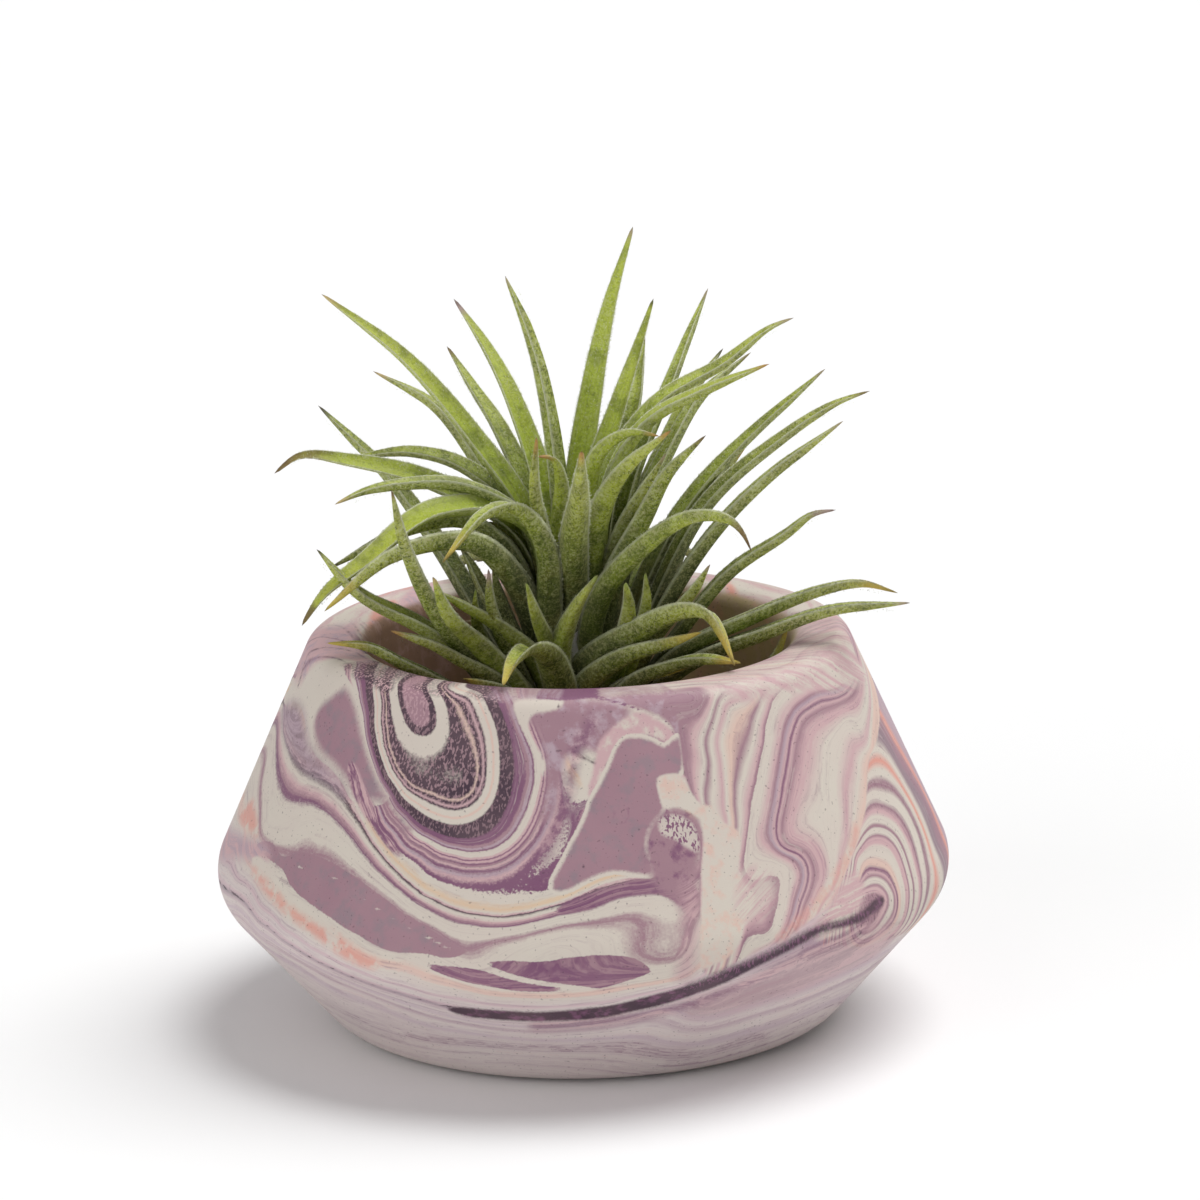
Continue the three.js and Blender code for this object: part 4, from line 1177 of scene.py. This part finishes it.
def leaf_width(wide, along):
    sheath = SHEATH_WIDENING * np.maximum(0, 1 - along / SHEATH_SHARE) ** 2
    taper = np.sin(np.pi / 2 * np.minimum(1, (1 - along) / TAPER_SHARE)) ** TAPER_POWER
    taper = np.sqrt(taper ** 2 + TIP_BLUNTNESS ** 2 * np.minimum(1, (1 - along) / TIP_ROUNDING))
    return wide * (1 + sheath) * taper


def leaf_curve(points):
    first = points[0]
    bearing = math.atan2(first[1] - CROWN[1], first[0] - CROWN[0])
    root_height = LOWEST_ROOT + max(0, first[2] - LOWEST_LEAVING) * ROOT_RISE
    root = around_crown(LEAF_ROOT_RADIUS, bearing, root_height)
    return curve_through([root, *(np.array(p, float) for p in points)])


def leaf_thickness(settings, along):
    spread = settings.keel_thickness - settings.tip_thickness
    thinning = np.minimum(1, (1 - along) / TIP_THINNING) ** ROUNDNESS
    return (settings.tip_thickness + spread * np.sqrt(1 - along)) * thinning / MM


def blade_surface(frames, width, channel, thickness, way_round):
    """Points of a channelled blade at a way round its section, from -1 to 1 for each."""
    places, sides, ups = frames
    across = np.cos(np.pi * way_round)
    below = np.where(way_round < 0, (1 - across ** 2) ** ROUNDNESS, 0)
    rise = channel * width * across ** 2 - thickness * below
    return places + sides * (width / 2 * across)[:, None] + ups * rise[:, None]


def add_blade(body, curve, turn, width_at, thickness_at, channel, stations, sides, marks, values):
    """Adds a closed channelled blade to the bmesh, with values on its points for the material."""
    grid = bmesh.ops.create_grid(body, x_segments=sides, y_segments=stations, size=1)["verts"]
    way_round = np.array([v.co.x for v in grid])
    rows = np.array([round((v.co.y + 1) / 2 * stations) for v in grid])
    steps = np.arange(stations + 1) / stations
    along = 1 - (1 - steps) ** TIP_CROWDING
    frames = [part[rows] for part in blade_frames(curve, along, turn)]
    closing = np.where((rows == 0) | (rows == stations), 0.0, 1.0)
    width = width_at(along)[rows] * closing
    thickness = thickness_at(along)[rows] * closing
    spots = blade_surface(frames, width, channel, thickness, way_round)
    across, upper = np.cos(np.pi * way_round), np.sin(np.pi * way_round)
    for i, point in enumerate(grid):
        point.co = spots[i] * MM
        point[marks["along"]] = along[rows[i]]
        point[marks["across"]] = across[i]
        point[marks["upper"]] = upper[i]
        for name, value in values.items():
            point[marks[name]] = value
    bmesh.ops.remove_doubles(body, verts=grid, dist=MM / 1000)


def all_leaves():
    return [*UPRIGHT_LEAVES, *LEFT_LEAVES, *MIDDLE_LEAVES, *RIGHT_LEAVES, *FRONT_LEAVES, *far_leaves()]


class SKYPLANT_OT_rosette(bpy.types.Operator):
    """Add the rosette: every leaf on its short leafy stem"""
    bl_idname = "sky_plant.rosette"
    bl_label = "Rosette of leaves"

    def execute(self, context):
        settings = context.scene.sky_plant_leaf
        outline = [Vector((radius * MM, (CROWN_BOTTOM + height) * MM)) for radius, height in CROWN_OUTLINE]
        body = spun(outline, CROWN_STEPS)
        bmesh.ops.translate(body, verts=body.verts, vec=CROWN * MM)
        marks = {name: body.verts.layers.float.new(name)
                 for name in ("along", "across", "upper", "tone", "fresh", "tip_share")}
        marks["tip_colour"] = body.verts.layers.float_color.new("tip_colour")
        tones = draws_from(TONE_SEED)
        for wide, turn, tip, tip_share, fresh, *points in all_leaves():
            values = {"tone": next(tones), "fresh": fresh, "tip_share": tip_share,
                      "tip_colour": (*tint(TIPS[tip]), 1)}
            add_blade(body, leaf_curve(points), turn, lambda along: leaf_width(wide, along),
                      lambda along: leaf_thickness(settings, along), settings.channel,
                      settings.stations, settings.sides, marks, values)
        bmesh.ops.recalc_face_normals(body, faces=body.faces)
        finished(body, "rosette_leaves", "rosette", leaf_skin(settings))
        return {"FINISHED"}


# Painted shade darkens the leaves low down and near the crown, and high up the leaves are livelier. All of
# these are in millimetres
PAINTED_SHADE_HEIGHTS = (82.0, 64.0)
PAINTED_SHADE_REACH = (27.0, 9.0)
LIVELY_HEIGHTS = (78.0, 98.0)
PAINTED_SHADE_HAIR_HEIGHTS = (84.0, 62.0)


def leaf_skin(settings):
    """Green leaf with blotches, a mottled bloom that thickens at its margins, a coloured tip, and painted
    shade low down near the crown.
    """
    s = settings
    finish = Finish("scaly leaf")
    place = finish.place()
    along, across, upper = (finish.attribute(name) for name in ("along", "across", "upper"))
    tone, fresh = finish.attribute("tone"), finish.attribute("fresh")
    face = upper.rise(-0.4, 0.6)
    patchy = finish.noise(place, 0.25, 3.0)
    grain = finish.noise(place, 1.7, 3.0, 0.75)
    specks = finish.noise(place, 4.0, 0.0).rise(0.60, 0.68)
    down_the_leaf = finish.add("ShaderNodeCombineXYZ", None, {
        "X": across * 7.0, "Y": along * 5.0, "Z": tone * 40.0})
    fibres = finish.noise(down_the_leaf, 1.0, 3.0)
    x, y, height = finish.parts(place)
    from_crown = ((x - CROWN[0]) ** 2 + (y - CROWN[1]) ** 2) ** 0.5
    out_from_root = (along + fresh * 0.12).rise(0.18, 0.70)
    scaly = 1.0 - fresh * (0.42 + face * 0.35)
    # Painted shade: strongest low down and near the crown, and weaker on fresh leaves
    painted_shade = height.rise(*PAINTED_SHADE_HEIGHTS) * from_crown.rise(*PAINTED_SHADE_REACH) * (1.0 - fresh * 0.75)

    # Olive towards the root: partly the sheath's own colour, partly painted shade between the leaves near the
    # crown
    base = finish.mix(out_from_root, tuple(s.olive), tuple(s.green))
    high = height.rise(*LIVELY_HEIGHTS)
    lively = fresh * 0.95 + face * 0.25 + high * 0.3 + (patchy - 0.5) * 1.2 - 0.15
    base = finish.mix(lively.clamped() * (0.1 + out_from_root * 0.9), base, tuple(s.fresh))
    base = finish.mix(fibres.rise(0.45, 0.72) * (0.6 - fresh * 0.35), base, tuple(s.deep))
    base = finish.mix(along.rise(0.38, 1.0) * (0.4 + tone * 0.35), base, tuple(s.straw))
    base = finish.mix(grain.rise(0.50, 0.38) * scaly * 0.9, base, tuple(s.deep))
    base = finish.mix(patchy.rise(0.52, 0.36) * 0.4, base, tuple(s.deep))
    # Painted shade turns the leaves olive low down near the crown
    base = finish.mix(painted_shade * 0.85, base, tuple(s.olive))
    # Brownish blotches, laid on more thickly where the painted shade lies
    base = finish.mix(patchy.rise(0.50, 0.66) * (0.12 + painted_shade * 0.3), base, tuple(s.rust))

    crowd = finish.noise(place, 0.5, 2.0).rise(0.3, 0.7)
    edge = abs(across).rise(0.45, 0.97)
    scales = grain.rise(0.50, 0.62)
    # The bloom, and below it the pale margins, fade where the painted shade lies
    cover = (scales * scaly * (0.5 + crowd * 0.28)
             + edge * (0.2 + tone * 0.12 + scales * 0.35) + specks * scaly * 0.7) * (1.0 - painted_shade * 0.45)
    bloom = finish.mix(patchy.rise(0.60, 0.42) * 0.4, tuple(s.bloom), tuple(s.tan))
    bloom = finish.mix((1.0 - out_from_root) * 0.45, bloom, tuple(s.tan))
    base = finish.mix(cover.clamped() * (0.34 + out_from_root * 0.52), base, bloom)
    margin = abs(across).rise(0.90, 0.99)
    base = finish.mix(margin * (0.4 + out_from_root * 0.3) * (1.0 - painted_shade * 0.3), base, tuple(s.margin))

    from_tip = (1.0 - along) / finish.attribute("tip_share") + (patchy - 0.5) * 0.8
    tip = finish.attribute("tip_colour", "Color")
    base = finish.mix(from_tip.rise(0.95, 0.15) * 0.85, base, tip)
    base = finish.mix(from_tip.rise(0.25, 0.0) * 0.55, base, tuple(s.withered))
    bump = finish.add("ShaderNodeBump", None, {
        "Strength": 0.5, "Distance": 0.0002, "Height": fibres * 0.5 + scales * 0.6 + specks * 0.3})
    return finish.surface(Base_Color=base, Roughness=0.68 - face * 0.15, Normal=bump)


HAIR_SEEDS = {"fringe": 5, "down": 6}
HAIR_SHORTEST = 0.45  # share of the longest
HAIRS_FROM = 0.15  # share of the leaf below the first hair
HAIRS_SPAN = 0.81  # share of the leaf that bears hairs
HAIRS_CROWDING = 0.8  # power by which they crowd towards the tip
HAIR_LEAN = 0.5  # least lean towards the tip
HAIR_LEAN_SPREAD = 0.8
HAIR_SCATTER = 0.25
FRINGE_SPREAD = 0.03
FULL_HAIR_WIDTH = 2.5  # width of the leaf from which its hairs have their full length
HAIR_KEEL = 1.1  # thickness of the leaf under the hairs
# Stations below the first hair, so that the directions across the leaf turn as they do in the leaf itself
LEAD_STATIONS = np.linspace(0, 0.14, 10)


def hair_spots(kind, count, channel):
    """Where hairs stand on the leaves: their feet, which way they point and how long they are, from 0 to 1.

    The fringe stands along the margins, and the down all over the leaves.
    """
    rng = np.random.default_rng(HAIR_SEEDS[kind])
    leaves = all_leaves()
    curves = [leaf_curve(row[5:]) for row in leaves]
    lengths = [np.linalg.norm(np.diff(places, axis=0), axis=1).sum() for _, places, _ in curves]
    shares = np.cumsum(lengths) / np.sum(lengths)
    owners = np.searchsorted(shares, rng.random(count))
    feet, directions = np.empty((count, 3)), np.empty((count, 3))
    sizes = HAIR_SHORTEST + (1 - HAIR_SHORTEST) * rng.random(count)
    for i, (row, curve) in enumerate(zip(leaves, curves)):
        own = np.flatnonzero(owners == i)
        along = np.sort(HAIRS_FROM + HAIRS_SPAN * rng.random(len(own)) ** HAIRS_CROWDING)
        if kind == "fringe":
            way_round = rng.choice([0.0, 1.0], len(own)) + FRINGE_SPREAD * rng.standard_normal(len(own))
        else:
            way_round = rng.uniform(-1, 1, len(own))
        frames = blade_frames(curve, np.append(LEAD_STATIONS, along), row[1])
        frames = [part[len(LEAD_STATIONS):] for part in frames]
        ahead = curve_at(curve, along)[1]
        _, sides, ups = frames
        width = leaf_width(row[0], along)
        feet[own] = blade_surface(frames, width, channel, HAIR_KEEL, (way_round + 1) % 2 - 1)
        angle = np.pi * way_round[:, None]
        outwards = sides * np.cos(angle) + ups * np.sin(angle)
        lean = HAIR_LEAN + HAIR_LEAN_SPREAD * rng.random((len(own), 1))
        directions[own] = outwards + ahead * lean + HAIR_SCATTER * rng.standard_normal((len(own), 3))
        sizes[own] *= np.minimum(1, width / FULL_HAIR_WIDTH)
    directions /= np.linalg.norm(directions, axis=1)[:, None]
    return feet, directions, sizes


HAIR_SIDES = 3
HAIR_LIFT = 0.35  # height of a hair's middle over the leaf, as a share of its length
HAIR_SHARES = {"fringe": 1.0, "down": 0.7}  # length of the hairs of a kind
ASKEW = (0.31, 0.52, 0.79)  # any direction that no hair has


class SKYPLANT_OT_hairs(bpy.types.Operator):
    """Add the silvery hairs: a fringe along the margins of the leaves and down all over them"""
    bl_idname = "sky_plant.hairs"
    bl_label = "Hairs"

    def execute(self, context):
        settings = context.scene.sky_plant_leaf
        material = hair_skin(settings)
        for kind in HAIR_SHARES:
            body = bmesh.new()
            number = body.verts.layers.int.new("hair")
            bmesh.ops.create_cone(body, cap_ends=True, segments=HAIR_SIDES, radius1=0.5, radius2=0, depth=1)
            for doubling in range(settings.hair_doublings):
                everything = body.verts[:] + body.edges[:] + body.faces[:]
                for copy in bmesh.ops.duplicate(body, geom=everything)["geom"]:
                    if isinstance(copy, bmesh.types.BMVert):
                        copy[number] += 2 ** doubling
            mesh = bpy.data.meshes.new("leaf_" + kind)
            body.to_mesh(mesh)
            body.free()
            self.place_hairs(mesh, kind, settings)
            mesh.materials.append(material)
            piece = bpy.data.objects.new(mesh.name, mesh)
            context.scene.collection.objects.link(piece)
            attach(piece, "root")
        return {"FINISHED"}

    def place_hairs(self, mesh, kind, settings):
        """Each hair is a slim cone of four points along Z, which is turned and put in its place."""
        count = 2 ** settings.hair_doublings
        feet, ahead, sizes = hair_spots(kind, count, settings.channel)
        corners = np.empty(len(mesh.vertices) * 3, np.float32)
        mesh.vertices.foreach_get("co", corners)
        corners = corners.reshape(-1, 3, 1)
        hair = np.empty(len(mesh.vertices), np.int32)
        mesh.attributes["hair"].data.foreach_get("value", hair)
        side = np.cross(ahead, ASKEW)
        side /= np.linalg.norm(side, axis=1)[:, None]
        other = np.cross(ahead, side)
        tall = settings.hair_length * sizes[:, None] * HAIR_SHARES[kind]
        spots = (feet[hair] * MM
                 + corners[:, 0] * side[hair] * settings.hair_width
                 + corners[:, 1] * other[hair] * settings.hair_width
                 + (corners[:, 2] + HAIR_LIFT) * (ahead * tall)[hair])
        mesh.vertices.foreach_set("co", spots.astype(np.float32).ravel())
        mesh.update()


def hair_skin(settings):
    """Silvery hairs, with painted shade that darkens them low down in the rosette."""
    finish = Finish("silvery hairs")
    place = finish.place()
    shade = finish.noise(place, 0.8, 1.0)
    base = finish.mix(shade * 0.5, tuple(settings.hair), tuple(settings.bloom))
    height = finish.parts(place)[2]
    # Painted shade: the hairs turn dark olive low down in the rosette
    base = finish.mix(height.rise(*PAINTED_SHADE_HAIR_HEIGHTS) * 0.7, base, tuple(settings.painted_shade_hair))
    return finish.surface(Base_Color=base, Roughness=0.6)


# The woody foot

PIECE_GAP = 0.3
# Radius and height over the pot's floor
FOOT_OUTLINE = [(0, PIECE_GAP), (3.6, PIECE_GAP), (3.9, 2), (4.2, 5), (4.8, 11), (4.4, 15.2), (0, 15.2)]
FOOT_STEPS = 32
SHEATH_COUNT = 7
SHEATH_LOWS = (2, 4.5)
SHEATH_OUTLINE = [(2.5, 0), (5.4, 4.4), (7.6, 8.2)]
SHEATH_WIDE = 5
SHEATH_NARROWING = 0.8
SHEATH_THICK = 0.9
SHEATH_CHANNEL = 0.22
SHEATH_STATIONS = 16
SHEATH_SIDES = 12
ROOT_COUNT = 6
ROOT_REACH = 17
ROOT_REACH_SPREAD = 0.2
ROOT_BEARING_SPREAD = 0.5
ROOT_THICKNESS = 1.2
ROOT_LIFT = 0.6  # height of the lowest root's middle over the floor, in thicknesses
ROOT_KNOTS = 0.12  # share by which the thickness swells and shrinks
ROOT_KNOT_STEP = 2.1  # how far the swelling goes on from row to row, in radians
ROOT_STEPS = 24
ROOT_SIDES = 10
ROOT_SEED = 5
# Share of the reach, share of the swing to the side, and height over the lowest place
ROOT_COURSE = [(0.12, 0, 2.5), (0.32, 0, 1.6), (0.6, 0.5, 0), (1, 1, 0)]


def add_root(body, points):
    """Adds a closed wiry root along a curve to the bmesh."""
    curve = curve_through(points)
    along = np.arange(ROOT_STEPS + 1) / ROOT_STEPS
    places, sides, ups = blade_frames(curve, along, 0)
    radii = ROOT_THICKNESS / 2 * (1 + ROOT_KNOTS * np.sin(ROOT_KNOT_STEP * np.arange(ROOT_STEPS + 1)))
    radii[[0, -1]] = 0
    grid = bmesh.ops.create_grid(body, x_segments=ROOT_SIDES, y_segments=ROOT_STEPS, size=1)["verts"]
    for point in grid:
        row = round((point.co.y + 1) / 2 * ROOT_STEPS)
        angle = math.pi * point.co.x
        spot = places[row] + radii[row] * (sides[row] * math.cos(angle) + ups[row] * math.sin(angle))
        point.co = spot * MM
    bmesh.ops.remove_doubles(body, verts=grid, dist=MM / 1000)


class SKYPLANT_OT_dry_base(bpy.types.Operator):
    """Add the woody foot with its withered sheaths and wiry roots"""
    bl_idname = "sky_plant.dry_base"
    bl_label = "Dry base"

    def execute(self, context):
        scene = context.scene
        settings = scene.sky_plant_dry_base
        floor = scene.sky_plant_pot.floor_height / MM
        outline = [Vector((radius * MM, (floor + height) * MM)) for radius, height in FOOT_OUTLINE]
        body = spun(outline, FOOT_STEPS)
        bmesh.ops.translate(body, verts=body.verts, vec=CROWN * MM)
        marks = {name: body.verts.layers.float.new(name) for name in ("along", "across", "upper")}
        for i in range(SHEATH_COUNT):
            bearing = 2 * math.pi * i / SHEATH_COUNT
            start = floor + PIECE_GAP + SHEATH_LOWS[i % 2]
            curve = curve_through([around_crown(radius, bearing, start + height)
                                   for radius, height in SHEATH_OUTLINE])
            add_blade(body, curve, 0, lambda along: SHEATH_WIDE * (1 - SHEATH_NARROWING * along),
                      lambda along: np.full(len(along), SHEATH_THICK), SHEATH_CHANNEL,
                      SHEATH_STATIONS, SHEATH_SIDES, marks, {})
        draw = draws_from(ROOT_SEED)
        lowest = floor + PIECE_GAP + ROOT_LIFT * ROOT_THICKNESS
        for i in range(ROOT_COUNT):
            bearing = 2 * math.pi * (i + ROOT_BEARING_SPREAD * next(draw)) / ROOT_COUNT
            swing = next(draw) - 0.5
            reach = ROOT_REACH * (1 - ROOT_REACH_SPREAD * next(draw))
            add_root(body, [around_crown(part * reach, bearing + aside * swing, lowest + height)
                            for part, aside, height in ROOT_COURSE])
        bmesh.ops.recalc_face_normals(body, faces=body.faces)
        finished(body, "dry_base_wood", "dry_base", dry_wood(settings))
        return {"FINISHED"}


def dry_wood(settings):
    """Brown woody foot with paler papery sheaths."""
    finish = Finish("dry wood")
    place = finish.place()
    fibres = finish.noise(finish.vector("MULTIPLY", place, (2.5, 2.5, 0.5)), 1.0, 3.0)
    papery = (fibres * 0.7 + finish.attribute("along") * 0.8).clamped()
    base = finish.mix(papery, tuple(settings.wood), tuple(settings.papery))
    bump = finish.add("ShaderNodeBump", None, {"Strength": 0.4, "Distance": 0.0003, "Height": fibres})
    return finish.surface(Base_Color=base, Roughness=0.85, Normal=bump)


# The studio

# The floor's sizes in metres
FLOOR_RADIUS = 2.5
FLOOR_DROP = 0.0002
FLOOR_SEGMENTS = 96
# Each light: spread, bearing from the front to the right, and height, in degrees
SUNS = {"overhead": (45, 112, 66), "front": (60, -44, 14)}


def add_floor(settings):
    disc = bmesh.new()
    bmesh.ops.create_circle(disc, cap_ends=True, segments=FLOOR_SEGMENTS, radius=FLOOR_RADIUS)
    bmesh.ops.translate(disc, verts=disc.verts, vec=(0, 0, -FLOOR_DROP))
    mesh = bpy.data.meshes.new("floor")
    disc.to_mesh(mesh)
    disc.free()
    floor = bpy.data.objects.new("floor", mesh)
    finish = Finish("pale floor")
    mesh.materials.append(finish.surface(Base_Color=(*settings.floor, 1.0), Roughness=0.8))
    return floor


def add_sun(name, strength, spread, azimuth, elevation):
    """A soft light from far off, aimed by the place in the sky that it comes from."""
    lamp = bpy.data.lights.new(name, "SUN")
    lamp.energy = strength
    lamp.angle = math.radians(spread)
    light = bpy.data.objects.new(name, lamp)
    a, e = math.radians(azimuth), math.radians(elevation)
    comes_from = Vector((math.sin(a) * math.cos(e), -math.cos(a) * math.cos(e), math.sin(e)))
    light.rotation_euler = comes_from.to_track_quat("Z", "Y").to_euler()
    return light


class SKYPLANT_OT_stage(bpy.types.Operator):
    """Add the pale floor, the soft lights and the camera"""
    bl_idname = "sky_plant.stage"
    bl_label = "Studio"

    def execute(self, context):
        scene = context.scene
        settings = scene.sky_plant_stage
        scene.view_settings.view_transform = "Standard"
        stands, right, up, forward = camera_frame()
        camera = bpy.data.objects.new("camera", bpy.data.cameras.new("camera"))
        camera.data.sensor_width = SENSOR_WIDTH
        camera.data.lens = FOCAL_PIXELS / PICTURE_SIZE * SENSOR_WIDTH
        camera.matrix_world = Matrix.Translation(stands) @ Matrix((right, up, -forward)).transposed().to_4x4()
        suns = [add_sun(name + "_light", getattr(settings, name), *aim) for name, aim in SUNS.items()]
        things = [camera, add_floor(settings), *suns]
        for thing in things:
            scene.collection.objects.link(thing)
        scene.camera = camera
        scene.world = bpy.data.worlds.new("even light")
        scene.world.use_nodes = True
        sky = scene.world.node_tree.nodes["Background"]
        sky.inputs["Color"].default_value = (1, 1, 1, 1)
        sky.inputs["Strength"].default_value = settings.sky_strength
        return {"FINISHED"}


PIECES = ("pot", "rosette", "hairs", "dry_base", "stage")


class SKYPLANT_PT_pieces(bpy.types.Panel):
    """The pieces of the sky plant and its pot"""
    bl_label = "Sky plant"
    bl_idname = "SKYPLANT_PT_pieces"
    bl_space_type = "VIEW_3D"
    bl_region_type = "UI"
    bl_category = "Sky plant"

    def draw(self, context):
        for name in PIECES:
            self.layout.operator("sky_plant." + name)


CLASSES = [
    PotSettings, LeafSettings, DryBaseSettings, StageSettings,
    SKYPLANT_OT_pot, SKYPLANT_OT_rosette, SKYPLANT_OT_hairs, SKYPLANT_OT_dry_base, SKYPLANT_OT_stage,
    SKYPLANT_PT_pieces,
]
SETTINGS = {
    "sky_plant_pot": PotSettings,
    "sky_plant_leaf": LeafSettings,
    "sky_plant_dry_base": DryBaseSettings,
    "sky_plant_stage": StageSettings,
}


def register():
    for entry in CLASSES:
        bpy.utils.register_class(entry)
    for name, group in SETTINGS.items():
        setattr(bpy.types.Scene, name, PointerProperty(type=group))


def unregister():
    for name in SETTINGS:
        delattr(bpy.types.Scene, name)
    for entry in reversed(CLASSES):
        bpy.utils.unregister_class(entry)


def main():
    register()
    for name in PIECES:
        getattr(bpy.ops.sky_plant, name)()


if __name__ == "__main__":
    main()
